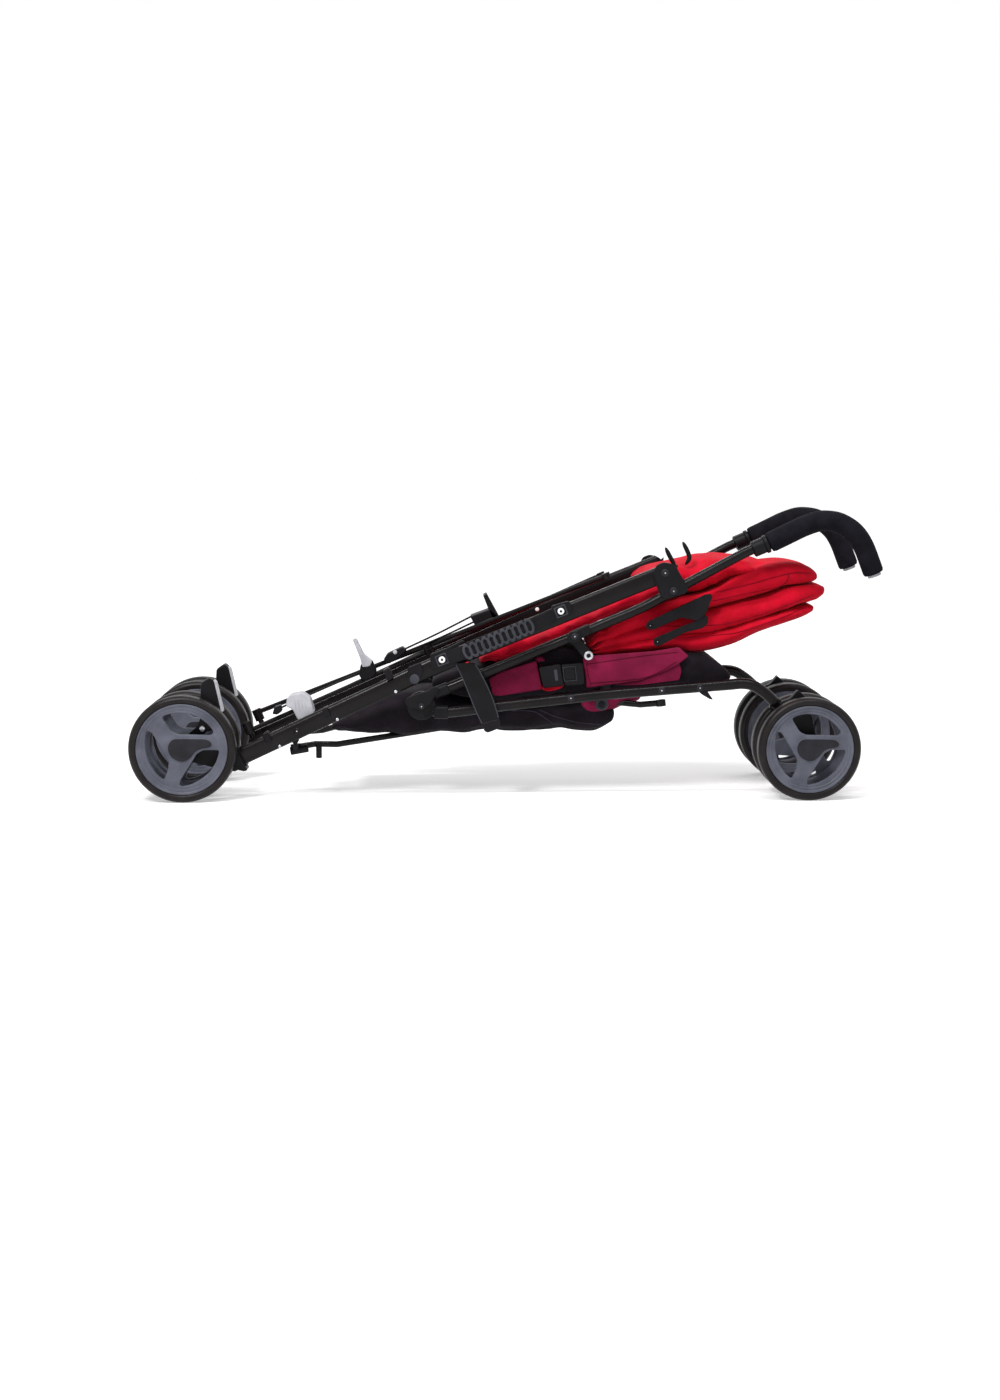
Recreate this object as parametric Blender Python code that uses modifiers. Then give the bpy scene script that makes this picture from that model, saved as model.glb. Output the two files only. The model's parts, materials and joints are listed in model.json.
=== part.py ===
# Umbrella-fold pushchair, folded and standing on its eight wheels.
# Metres, +Z up, +X towards the handles, near side at -Y. Angles are degrees in the side view.
import math

import bmesh
import bpy
from mathutils import Matrix, Vector

# Frame: lengths of the three tubes and their headings when folded.
REAR_LEG_LENGTH = 0.718
REAR_LEG_ANGLE = 19.8
LOWER_HANDLE_LENGTH = 0.390
LOWER_HANDLE_ANGLE = 28.6
FRONT_LEG_REACH = 0.5433
REAR_WHEEL_R = 0.075
FRONT_WHEEL_R = 0.0725

# Widths across the chair, each measured from its middle plane.
WHEEL_PLANE = 0.096
WHEEL_PAIR_PITCH = 0.058
TYRE_WIDTH = 0.026
REAR_LEG_PLANE = 0.100

# Tube and sheet sections.
REAR_TUBE_DEEP = 0.025
REAR_TUBE_WIDE = 0.016
HANDLE_TUBE_R = 0.007
FRONT_TUBE_R = 0.00775
GRIP_R = 0.0148
PLATE_T = 0.0046
LOWER_ROD_R = 0.0045
BACK_ROD_R = 0.0035

# Wheel parts.
TYRE_DEPTH = 0.0115
RIM_DEPTH = 0.009
HUB_R = 0.015
AXLE_R = 0.005
SPOKE_WIDE = 0.020
WHEEL_STEPS = 24
MOULDED_IN = 0.002

# Clearances: between still parts, and between parts that turn on each other.
SEAT_GAP = 0.0003
RUN_GAP = 0.0003

# Handle tube: straight lengths, bends and the hooked grip.
HANDLE_START = 0.026
HANDLE_LOW_ANGLE = 22.2
HANDLE_LOW_RUN = 0.296
HANDLE_MID_ANGLE = 28.2
HANDLE_MID_RUN = 0.152
GRIP_START_ANGLE = 23.5
GRIP_RUN = 0.093
GRIP_HOOK_R = 0.055
GRIP_HOOK_TURN = 92.0
GRIP_END_RUN = 0.045
HANDLE_BLEND = 0.020
GRIP_FIRST = 4
COLLAR_LENGTH = 0.024

# Front leg: a long shallow run, then a bend onto the swivel's axis.
FRONT_TUBE_ANGLE = 5.2
FRONT_TUBE_RUN = 0.425
FRONT_BEND_R = 0.060
SWIVEL_ANGLE = -46.1
SWIVEL_REACH = 0.087
SWIVEL_BARREL = 0.040
HINGE_DISC_R = 0.0200


def polar(start, length, angle):
    turn = math.radians(angle)
    return (start[0] + length * math.cos(turn), start[1] + length * math.sin(turn))


def between(a, b, share):
    return (a[0] + (b[0] - a[0]) * share, a[1] + (b[1] - a[1]) * share)


def heading(a, b):
    return math.degrees(math.atan2(b[1] - a[1], b[0] - a[0]))


def distance(a, b):
    return math.hypot(b[0] - a[0], b[1] - a[1])


def bend(start, angle, radius, turn, steps=6):
    """Points on an arc that leaves start at angle and turns left by turn degrees; also its end angle."""
    sign = 1 if turn > 0 else -1
    centre = polar(start, radius, angle + 90 * sign)
    points = [polar(centre, radius, angle - 90 * sign + turn * i / steps) for i in range(1, steps + 1)]
    return points, angle + turn


# Pivot points in the side view, as (x, z), first with the rear axle at x = 0.
def side_points(shift):
    p = {}
    p["rear_axle"] = (shift, REAR_WHEEL_R)
    p["top_pivot"] = polar(p["rear_axle"], REAR_LEG_LENGTH, REAR_LEG_ANGLE)
    p["side_hinge"] = polar(p["top_pivot"], LOWER_HANDLE_LENGTH, LOWER_HANDLE_ANGLE + 180)
    p["front_axle"] = (p["side_hinge"][0] + FRONT_LEG_REACH, FRONT_WHEEL_R)
    return p


def handle_path(p):
    """Centre line of the handle tube from its lower end, and the index where the foam grip starts."""
    start = polar(p["side_hinge"], HANDLE_START, LOWER_HANDLE_ANGLE + 14)
    low_end = polar(start, HANDLE_LOW_RUN, HANDLE_LOW_ANGLE)
    mid_start = polar(low_end, HANDLE_BLEND, (HANDLE_LOW_ANGLE + HANDLE_MID_ANGLE) / 2)
    mid_end = polar(mid_start, HANDLE_MID_RUN, HANDLE_MID_ANGLE)
    grip_start = polar(mid_end, HANDLE_BLEND, (HANDLE_MID_ANGLE + GRIP_START_ANGLE) / 2)
    hook_start = polar(grip_start, GRIP_RUN, GRIP_START_ANGLE)
    hook, end_angle = bend(hook_start, GRIP_START_ANGLE, GRIP_HOOK_R, -GRIP_HOOK_TURN, 8)
    tip = polar(hook[-1], GRIP_END_RUN, end_angle)
    return [start, low_end, mid_start, mid_end, grip_start, hook_start, *hook, tip]


# The folded chair's box is centred on the origin, so the rear axle's place follows from its overall length.
FACETED = 0.93
AXLE_TO_GRIP = max(x for x, z in handle_path(side_points(0.0))) + GRIP_R * FACETED
OVERALL_LENGTH = AXLE_TO_GRIP + REAR_WHEEL_R
P = side_points(REAR_WHEEL_R - OVERALL_LENGTH / 2)
REAR_AXLE, TOP_PIVOT = P["rear_axle"], P["top_pivot"]
SIDE_HINGE, FRONT_AXLE = P["side_hinge"], P["front_axle"]
HANDLE = handle_path(P)

# Rear leg: its tube runs below the line from the axle to the top pivot.
TUBE_AHEAD = 0.082
TUBE_BELOW = 0.013
TUBE_BOW = 0.010
TUBE_BOW_SHARE = 0.47
TUBE_START = (REAR_AXLE[0] + TUBE_AHEAD, REAR_AXLE[1] - TUBE_BELOW)
TUBE_MID = polar(between(TUBE_START, TOP_PIVOT, TUBE_BOW_SHARE), TUBE_BOW, 90)
TUBE_ANGLE = heading(TUBE_START, TUBE_MID)
UPPER_TUBE_ANGLE = heading(TUBE_MID, TOP_PIVOT)
REAR_EYE_R = 0.0150

# Front leg: its route in the side view, and the swivel's axis in line with its lower end.
FRONT_START = polar(SIDE_HINGE, HINGE_DISC_R - 0.003, -24)


def front_path():
    end = polar(FRONT_START, FRONT_TUBE_RUN, FRONT_TUBE_ANGLE)
    arc, _ = bend(end, FRONT_TUBE_ANGLE, FRONT_BEND_R, SWIVEL_ANGLE - FRONT_TUBE_ANGLE, 5)
    return [FRONT_START, end, *arc]


FRONT_PATH = front_path()
BARREL_TOP = polar(FRONT_PATH[-1], 0.004, SWIVEL_ANGLE)
SWIVEL_FOOT = polar(BARREL_TOP, SWIVEL_REACH, SWIVEL_ANGLE)

# Wheel planes, near side negative.
OUTER_WHEEL = WHEEL_PLANE + WHEEL_PAIR_PITCH / 2
INNER_WHEEL = WHEEL_PLANE - WHEEL_PAIR_PITCH / 2
HOUSING_WIDE = WHEEL_PAIR_PITCH - TYRE_WIDTH - 0.008

SIDES = (("near", -1), ("far", 1))


def start_collection(name):
    made = bpy.data.collections.new(name)
    bpy.context.scene.collection.children.link(made)
    return made


for old in list(bpy.data.objects):
    bpy.data.objects.remove(old, do_unlink=True)
PARTS = start_collection("pushchair")
CUTTERS = start_collection("cutters")


def linear(value):
    return value / 12.92 if value <= 0.04045 else ((value + 0.055) / 1.055) ** 2.4


def material(name, colour, roughness, metallic=0.0):
    made = bpy.data.materials.new(name)
    made.use_nodes = True
    shader = made.node_tree.nodes["Principled BSDF"]
    rgb = [linear(int(colour[i : i + 2], 16) / 255) for i in (0, 2, 4)]
    shader.inputs["Base Color"].default_value = (*rgb, 1.0)
    shader.inputs["Roughness"].default_value = roughness
    shader.inputs["Metallic"].default_value = metallic
    return made


BLACK_PAINT = material("black_painted_tube", "1E1A1C", 0.35)
BLACK_PLASTIC = material("black_plastic", "211E22", 0.45)
GREY_PLASTIC = material("grey_plastic", "A9AAB2", 0.5)
HUB_PLASTIC = material("hub_plastic", "6B7080", 0.45)
TYRE_RUBBER = material("tyre_rubber", "2E2A2B", 0.8)
FOAM = material("grip_foam", "1C1B22", 0.9)
STEEL = material("axle_steel", "B8B8BC", 0.3, 1.0)
RED_CLOTH = material("red_cloth", "D40F33", 0.9)
MAROON_CLOTH = material("maroon_cloth", "7E1A3E", 0.9)
BASKET_CLOTH = material("basket_cloth", "2A2129", 0.9)

HOLDERS = {}


def holder(name, place, y, parent=None):
    """An empty on a joint's axis; the pieces of that body hang from it."""
    made = bpy.data.objects.new("axis_" + name, None)
    PARTS.objects.link(made)
    made.empty_display_size = 0.02
    world = Vector((place[0], y, place[1]))
    above = HOLDERS[parent][1] if parent else Vector((0, 0, 0))
    made.location = world - above
    if parent:
        made.parent = HOLDERS[parent][0]
    HOLDERS[name] = (made, world)


def finish(obj, name, mat, body):
    """Name a piece, give it its material and hang it from its body's axis."""
    obj.name = name
    obj.data.name = name
    obj.data.materials.clear()
    obj.data.materials.append(mat)
    empty, world = HOLDERS[body]
    obj.parent = empty
    obj.location = obj.location - world
    if obj.type == "MESH":
        obj.data.set_sharp_from_angle(angle=math.radians(40))
    return obj


def mesh_object(name, mesh):
    obj = bpy.data.objects.new(name, mesh)
    PARTS.objects.link(obj)
    return obj


def as_mesh(obj):
    """A curve or a modified object as a plain welded mesh object in the same place."""
    bpy.context.view_layer.update()
    graph = bpy.context.evaluated_depsgraph_get()
    mesh = bpy.data.meshes.new_from_object(obj.evaluated_get(graph))
    bm = bmesh.new()
    bm.from_mesh(mesh)
    bmesh.ops.remove_doubles(bm, verts=bm.verts, dist=0.00001)
    bmesh.ops.recalc_face_normals(bm, faces=bm.faces)
    bm.to_mesh(mesh)
    bm.free()
    made = mesh_object(obj.name + "_mesh", mesh)
    made.matrix_world = obj.matrix_world.copy()
    bpy.data.objects.remove(obj, do_unlink=True)
    return made


def box(centre, size, angle=0.0):
    """A block with its centre at (x, y, z), turned by angle in the side view."""
    bm = bmesh.new()
    bmesh.ops.create_cube(bm, size=1.0)
    bmesh.ops.scale(bm, vec=Vector(size), verts=bm.verts)
    mesh = bpy.data.meshes.new("box")
    bm.to_mesh(mesh)
    bm.free()
    obj = mesh_object("box", mesh)
    obj.location = centre
    obj.rotation_euler = (0, -math.radians(angle), 0)
    return obj


def rod(a, b, radius, segments=12, radius_b=None):
    """A round bar or a cone from point a to point b in space."""
    a, b = Vector(a), Vector(b)
    bm = bmesh.new()
    bmesh.ops.create_cone(
        bm, cap_ends=True, segments=segments, radius1=radius, radius2=radius_b or radius, depth=(b - a).length
    )
    mesh = bpy.data.meshes.new("rod")
    bm.to_mesh(mesh)
    bm.free()
    obj = mesh_object("rod", mesh)
    obj.location = (a + b) / 2
    obj.rotation_mode = "QUATERNION"
    obj.rotation_quaternion = (b - a).to_track_quat("Z", "Y")
    return obj


def pin(place, y0, y1, radius, segments=12):
    """A round bar across the chair at a side-view point."""
    return rod((place[0], y0, place[1]), (place[0], y1, place[1]), radius, segments)


def tube(points, radius, resolution=2, section=None):
    """A bent tube through points in space, round or with another section's outline."""
    curve = bpy.data.curves.new("tube", "CURVE")
    curve.dimensions = "3D"
    curve.use_fill_caps = True
    curve.twist_mode = "Z_UP"
    spline = curve.splines.new("POLY")
    spline.points.add(len(points) - 1)
    for node, point in zip(spline.points, points):
        node.co = (*point, 1)
    if section:
        curve.bevel_mode = "OBJECT"
        curve.bevel_object = section
    else:
        curve.bevel_depth = radius
        curve.bevel_resolution = resolution
    obj = bpy.data.objects.new("tube", curve)
    PARTS.objects.link(obj)
    return as_mesh(obj)


def flat_tube(points, wide, deep, sides=12):
    """A bent tube of flat oval section, wide across the chair and deep in the side view, flats outwards."""
    outline = bpy.data.curves.new("section", "CURVE")
    outline.dimensions = "2D"
    outline.fill_mode = "NONE"
    spline = outline.splines.new("POLY")
    spline.points.add(sides - 1)
    flats = math.cos(math.pi / sides)
    for i, node in enumerate(spline.points):
        turn = 2 * math.pi * (i + 0.5) / sides
        node.co = (wide / 2 * math.cos(turn) / flats, deep / 2 * math.sin(turn) / flats, 0, 1)
    spline.use_cyclic_u = True
    guide = bpy.data.objects.new("section", outline)
    CUTTERS.objects.link(guide)
    guide.hide_render = True
    guide.display_type = "WIRE"
    made = tube(points, 0, section=guide)
    bpy.data.objects.remove(guide, do_unlink=True)
    return made


def plate(outline, y0, y1):
    """A flat plate of a side-view outline between two planes across the chair."""
    curve = bpy.data.curves.new("plate", "CURVE")
    curve.dimensions = "2D"
    curve.fill_mode = "BOTH"
    curve.extrude = abs(y1 - y0) / 2
    spline = curve.splines.new("POLY")
    spline.points.add(len(outline) - 1)
    for node, point in zip(spline.points, outline):
        node.co = (point[0], point[1], 0, 1)
    spline.use_cyclic_u = True
    obj = bpy.data.objects.new("plate", curve)
    PARTS.objects.link(obj)
    obj.rotation_euler = (math.pi / 2, 0, 0)
    obj.location = (0, (y0 + y1) / 2, 0)
    return as_mesh(obj)


def link_outline(a, radius_a, b, radius_b, steps=5):
    """Side-view outline of a link: a rounded end at each of two points with straight sides between."""
    along = heading(a, b)
    lean = math.degrees(math.acos((radius_a - radius_b) / distance(a, b)))
    points = [polar(a, radius_a, along + lean + (360 - 2 * lean) * i / steps) for i in range(steps + 1)]
    points += [polar(b, radius_b, along - lean + 2 * lean * i / steps) for i in range(steps + 1)]
    return points


def rounded(corners, radius, steps=2):
    """Side-view outline through corners, each cut back and rounded."""
    points = []
    count = len(corners)
    for i, corner in enumerate(corners):
        before, after = corners[i - 1], corners[(i + 1) % count]
        back = min(radius, distance(corner, before) * 0.4)
        ahead = min(radius, distance(corner, after) * 0.4)
        a = polar(corner, back, heading(corner, before))
        b = polar(corner, ahead, heading(corner, after))
        for k in range(steps + 1):
            t = k / steps
            first, second = between(a, corner, t), between(corner, b, t)
            points.append(between(first, second, t))
    return points


def join(base, others, operation="UNION"):
    """Add or cut other solids on base with Boolean modifiers; the others become cutters."""
    for other in others:
        PARTS.objects.unlink(other)
        CUTTERS.objects.link(other)
        other.hide_render = True
        other.display_type = "WIRE"
        step = base.modifiers.new(operation.lower(), "BOOLEAN")
        step.operation = operation
        step.solver = "EXACT"
        step.object = other
    made = as_mesh(base)
    for other in others:
        bpy.data.objects.remove(other, do_unlink=True)
    return made


def at(place, y):
    return (place[0], y, place[1])


def across(side, start, end):
    """Two planes across the chair, given as distances from its middle."""
    return side * start, side * end


# Joint axes. The far side's bodies hang from the near side's, because the folded frame spreads sideways.
holder("root", REAR_AXLE, -WHEEL_PLANE)
holder("rear_leg_near", REAR_AXLE, -WHEEL_PLANE, "root")
holder("rear_leg_far", REAR_AXLE, WHEEL_PLANE, "rear_leg_near")
holder("handle_near", TOP_PIVOT, -WHEEL_PLANE, "rear_leg_near")
holder("handle_far", TOP_PIVOT, WHEEL_PLANE, "handle_near")
holder("front_leg_near", SIDE_HINGE, -WHEEL_PLANE, "handle_near")
holder("front_leg_far", SIDE_HINGE, WHEEL_PLANE, "front_leg_near")
for side_name, side in SIDES:
    holder("fork_" + side_name, SWIVEL_FOOT, side * WHEEL_PLANE, "front_leg_" + side_name)
    for row, plane in (("outer", OUTER_WHEEL), ("inner", INNER_WHEEL)):
        rear_parent = "root" if side_name == "near" else "rear_leg_far"
        holder("rear_" + row + "_wheel_" + side_name, REAR_AXLE, side * plane, rear_parent)
        holder("front_" + row + "_wheel_" + side_name, FRONT_AXLE, side * plane, "fork_" + side_name)


# Wheels: a rubber tyre on a three-spoked plastic hub, closed on the outer face.
def ring(profile, steps=WHEEL_STEPS):
    """A turned ring from a closed profile of (radius, height) points, outer side first, top to bottom."""
    mesh = bpy.data.meshes.new("ring")
    verts = [(r, 0, z) for r, z in profile]
    edges = [(i, (i + 1) % len(verts)) for i in range(len(verts))]
    mesh.from_pydata(verts, edges, [])
    obj = mesh_object("ring", mesh)
    turn = obj.modifiers.new("turn", "SCREW")
    turn.axis = "Z"
    turn.steps = steps
    turn.render_steps = steps
    turn.use_merge_vertices = True
    turn.merge_threshold = 0.00001
    return as_mesh(obj)


def tyre_mesh(wheel_r):
    inner, half, shoulder = wheel_r - TYRE_DEPTH, TYRE_WIDTH / 2, 0.005
    profile = [
        (inner, half * 0.92),
        (wheel_r - shoulder, half),
        (wheel_r, half - shoulder * 1.3),
        (wheel_r, -half + shoulder * 1.3),
        (wheel_r - shoulder, -half),
        (inner, -half * 0.92),
    ]
    return ring(profile)


def hub_mesh(wheel_r, tyre=None):
    """The spoked hub, or with a tyre given the whole wheel as one solid, its tyre moulded on."""
    rim_out = wheel_r - TYRE_DEPTH - SEAT_GAP if tyre is None else wheel_r - TYRE_DEPTH + MOULDED_IN
    rim_in, half = rim_out - RIM_DEPTH, TYRE_WIDTH / 2 - 0.0015
    rim = ring([(rim_in, half), (rim_out, half), (rim_out, -half), (rim_in, -half)])
    boss = rod((0, 0, -half), (0, 0, half + 0.001), HUB_R, 16)
    spokes = []
    for i in range(3):
        turn = math.radians(120 * i)
        reach = (rim_in + rim_out) / 2
        spoke = box((reach / 2 * math.cos(turn), reach / 2 * math.sin(turn), 0.003), (reach, SPOKE_WIDE, 0.010))
        spoke.rotation_euler = (0, 0, turn)
        spokes.append(spoke)
    hub = join(rim, [boss, *spokes] if tyre is None else [tyre, boss, *spokes])
    bore = rod((0, 0, -half - 0.01), (0, 0, half - 0.003), AXLE_R + RUN_GAP, 12)
    return join(hub, [bore], "DIFFERENCE")


WHEEL_MESHES = {
    end: (tyre_mesh(wheel_r), hub_mesh(wheel_r), hub_mesh(wheel_r, tyre_mesh(wheel_r)))
    for end, wheel_r in (("rear", REAR_WHEEL_R), ("front", FRONT_WHEEL_R))
}


def wheel_piece(source, axle, plane, face):
    """A copy of a wheel part standing on its axle, its closed face turned to -1 or +1 across the chair."""
    obj = mesh_object("wheel", source.data.copy())
    obj.data.transform(Matrix.Rotation(-math.pi / 2 * face, 4, "X"))
    obj.location = at(axle, plane)
    return obj


def add_wheels():
    for side_name, side in SIDES:
        for end, axle in (("rear", REAR_AXLE), ("front", FRONT_AXLE)):
            tyre, hub, whole = WHEEL_MESHES[end]
            body = end + "_outer_wheel_" + side_name
            plane = side * OUTER_WHEEL
            finish(wheel_piece(tyre, axle, plane, side), end + "_outer_tyre_" + side_name, TYRE_RUBBER, body)
            finish(wheel_piece(hub, axle, plane, side), end + "_outer_hub_" + side_name, HUB_PLASTIC, body)
            plane = side * INNER_WHEEL
            inner_name = end + "_inner_wheel_" + side_name
            finish(wheel_piece(whole, axle, plane, -side), inner_name, HUB_PLASTIC, inner_name)
            reach = WHEEL_PAIR_PITCH / 2 + TYRE_WIDTH / 2 - 0.0015 - 0.003 - RUN_GAP
            shaft = pin(axle, side * WHEEL_PLANE - reach, side * WHEEL_PLANE + reach, AXLE_R)
            if end == "front":
                axle_body = "fork_" + side_name
            else:
                axle_body = "root" if side_name == "near" else "rear_leg_far"
            finish(shaft, end + "_axle_" + side_name, STEEL, axle_body)
    for pair in WHEEL_MESHES.values():
        for source in pair:
            bpy.data.objects.remove(source, do_unlink=True)


# Rear legs: a flat oval tube from the wheel housing to the top pivot, with its lugs and clips.
REAR_TUBE_LAYER = REAR_LEG_PLANE - REAR_TUBE_WIDE / 2
LOWER_TAB = polar(TUBE_START, 0.083, TUBE_ANGLE)
TAB_PIN_R = 0.003
LOCK_PLACE = polar(between(TUBE_START, TUBE_MID, 0.86), -0.004, TUBE_ANGLE + 90)
LOCK_R = 0.0069
LOCK_DEEP = 0.007
LATCH_PIVOT = between(TUBE_MID, TOP_PIVOT, 0.088)
TOP_PIN_R = 0.004


# Ends of the back cross braces, which stand on an arm of each rear leg.
BACK_LIFT = 0.0300
BACK_INNER = 0.076
BACK_RUN = 0.550
BACK_START = 0.020


def back_ends(side):
    start = polar(polar(TUBE_START, BACK_START, TUBE_ANGLE), BACK_LIFT, TUBE_ANGLE + 90)
    end = polar(start, BACK_RUN, REAR_LEG_ANGLE + 2.8)
    return Vector(at(start, side * BACK_INNER)), Vector(at(end, -side * BACK_INNER))


def back_normal():
    start, end = back_ends(-1)
    angle = math.radians(heading((start.x, start.z), (end.x, end.z)) + 90)
    return Vector((math.cos(angle), 0, math.sin(angle)))


BACK_STEP = BACK_ROD_R + 0.0006
BACK_BOSS_R = 0.0085
BACK_FOOT_R = 0.0040
BACK_FOOT_LONG = 0.013


def back_arm(side):
    """Two blocks on a rear leg that reach inwards under its back brace, and the hole for the brace's foot."""
    start, _ = back_ends(side)
    up = back_normal()
    angle = heading((0, 0), (up.x, up.z)) - 90
    wide = REAR_LEG_PLANE + 0.003 - BACK_INNER + 0.008
    shelf_y = side * (BACK_INNER - 0.008 + wide / 2)
    shelf_at = start - up * 0.0125
    shelf = box((shelf_at.x, shelf_y, shelf_at.z), (0.0150, wide, 0.0080), angle)
    post_at = start - up * 0.0185
    post = box((post_at.x, side * (REAR_LEG_PLANE - 0.0010), post_at.z), (0.0120, 0.0070, 0.0190), angle)
    hole = rod(start - up * 0.03, start, BACK_FOOT_R + RUN_GAP, 10)
    return [shelf, post], hole


def rear_leg(side_name, side):
    y = side * REAR_LEG_PLANE
    path = [at(TUBE_START, y), at(TUBE_MID, y), at(polar(TOP_PIVOT, REAR_EYE_R * 0.6, UPPER_TUBE_ANGLE), y)]
    leg = flat_tube(path, REAR_TUBE_WIDE, REAR_TUBE_DEEP)
    inner, outer = REAR_TUBE_LAYER - 0.0001, REAR_TUBE_LAYER + REAR_TUBE_WIDE
    tab_pin = pin(LOWER_TAB, side * (inner - 0.012), side * (inner + 0.006), TAB_PIN_R, 10)
    arm, foot_hole = back_arm(side)
    leg = join(leg, [tab_pin, *arm])
    hole = pin(TOP_PIVOT, side * (inner - 0.01), side * (outer + 0.01), TOP_PIN_R + RUN_GAP, 14)
    cuts = [hole, foot_hole]
    if side_name == "near":
        cuts.append(pin(LOCK_PLACE, side * (outer - LOCK_DEEP), side * (outer + 0.01), LOCK_R + RUN_GAP, 14))
        cuts.append(pin(LATCH_PIVOT, side * (outer - 0.006), side * (outer + 0.01), TAB_PIN_R + RUN_GAP, 10))
    leg = join(leg, cuts, "DIFFERENCE")
    finish(leg, "rear_leg_" + side_name, BLACK_PAINT, "rear_leg_" + side_name)


# Rear housings: a moulded block that holds the leg's end above the axle.
def rear_housing(side_name, side):
    y0, y1 = across(side, WHEEL_PLANE - HOUSING_WIDE / 2, WHEEL_PLANE + HOUSING_WIDE / 2)
    neck = polar(TUBE_START, -0.017, TUBE_ANGLE)
    body = plate(link_outline(REAR_AXLE, 0.018, neck, 0.0150), y0, y1)
    socket_mid = polar(TUBE_START, -0.010 - SEAT_GAP, TUBE_ANGLE)
    socket = box(at(socket_mid, (y0 + y1) / 2), (0.020, HOUSING_WIDE, 0.030), TUBE_ANGLE)
    bore = pin(REAR_AXLE, y0 - 0.01 * side, y1 + 0.01 * side, AXLE_R + RUN_GAP, 12)
    pedal_post = pin(PEDAL_PIVOT, y0 + 0.009 * side, y0 + 0.015 * side, 0.0065, 12)
    lug = plate(link_outline(REAR_AXLE, 0.010, PEDAL_PIVOT, 0.007), y0 + 0.009 * side, y0 + 0.015 * side)
    body = join(body, [socket, lug, pedal_post])
    pedal_hole = pin(PEDAL_PIVOT, y0, y1, 0.003 + RUN_GAP, 10)
    body = join(body, [bore, pedal_hole], "DIFFERENCE")
    finish(body, "rear_housing_" + side_name, BLACK_PLASTIC, "rear_leg_" + side_name)


PEDAL_PIVOT = (REAR_AXLE[0] + 0.026, REAR_AXLE[1] + 0.026)


# Brake pedals: a fork on the housing's lug with a foot plate standing above the wheels.
def brake_pedal(side_name, side):
    y0 = side * (WHEEL_PLANE - HOUSING_WIDE / 2)
    foot_low = (PEDAL_PIVOT[0] + 0.011, PEDAL_PIVOT[1] + 0.024)
    foot_high = (PEDAL_PIVOT[0] + 0.006, PEDAL_PIVOT[1] + 0.072)
    gap = 0.009 - RUN_GAP
    cheeks = [
        plate(link_outline(PEDAL_PIVOT, 0.0065, foot_low, 0.006), y0 + side * a, y0 + side * b)
        for a, b in ((gap - 0.006, gap), (0.015 + RUN_GAP, 0.021 + RUN_GAP))
    ]
    foot = plate(link_outline(foot_low, 0.0065, foot_high, 0.0045), y0 - side * 0.002, y0 + side * 0.026)
    hinge_pin = pin(PEDAL_PIVOT, y0 + side * (gap - 0.005), y0 + side * (0.020 + RUN_GAP), 0.003, 10)
    pedal = join(foot, [*cheeks, hinge_pin])
    finish(pedal, "brake_pedal_" + side_name, GREY_PLASTIC, "brake_pedal_" + side_name)


# Handle tubes: round tube from the side hinge, past the top pivot, to a foam hook.
def handle(side_name, side):
    y = side * WHEEL_PLANE
    body = "handle_" + side_name
    points = [at(p, y) for p in HANDLE]
    bare = polar(HANDLE[GRIP_FIRST], COLLAR_LENGTH, GRIP_START_ANGLE)
    bar = tube([*points[: GRIP_FIRST + 1], at(bare, y)], HANDLE_TUBE_R)
    finish(bar, "handle_tube_" + side_name, BLACK_PAINT, body)
    foam_start = polar(bare, SEAT_GAP, GRIP_START_ANGLE)
    foam = tube([at(foam_start, y), *points[GRIP_FIRST + 1 :]], GRIP_R, 2)
    finish(foam, "grip_" + side_name, FOAM, body)
    collar_start = polar(HANDLE[GRIP_FIRST], 0.002, GRIP_START_ANGLE)
    collar_end = polar(bare, -0.001, GRIP_START_ANGLE)
    sleeve = rod(at(collar_start, y), at(collar_end, y), GRIP_R * 0.82, 14, GRIP_R * 1.04)
    bore = rod(
        at(polar(collar_start, -0.01, GRIP_START_ANGLE), y),
        at(polar(collar_end, 0.01, GRIP_START_ANGLE), y),
        HANDLE_TUBE_R + SEAT_GAP,
        14,
    )
    finish(join(sleeve, [bore], "DIFFERENCE"), "grip_collar_" + side_name, GREY_PLASTIC, body)


# Top brackets: a plate on the handle tube that carries the rear leg's pivot pin.
def handle_height(x):
    """Centre height of the handle tube at x."""
    for a, b in zip(HANDLE, HANDLE[1:]):
        if a[0] <= x <= b[0]:
            return a[1] + (b[1] - a[1]) * (x - a[0]) / (b[0] - a[0])
    return HANDLE[0][1]


def leg_height(x):
    """Centre height of the rear leg's tube at x."""
    a, b = (TUBE_START, TUBE_MID) if x < TUBE_MID[0] else (TUBE_MID, TOP_PIVOT)
    return a[1] + (b[1] - a[1]) * (x - a[0]) / (b[0] - a[0])


BRACKET_SCREW_X = TOP_PIVOT[0] + 0.0125


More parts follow.
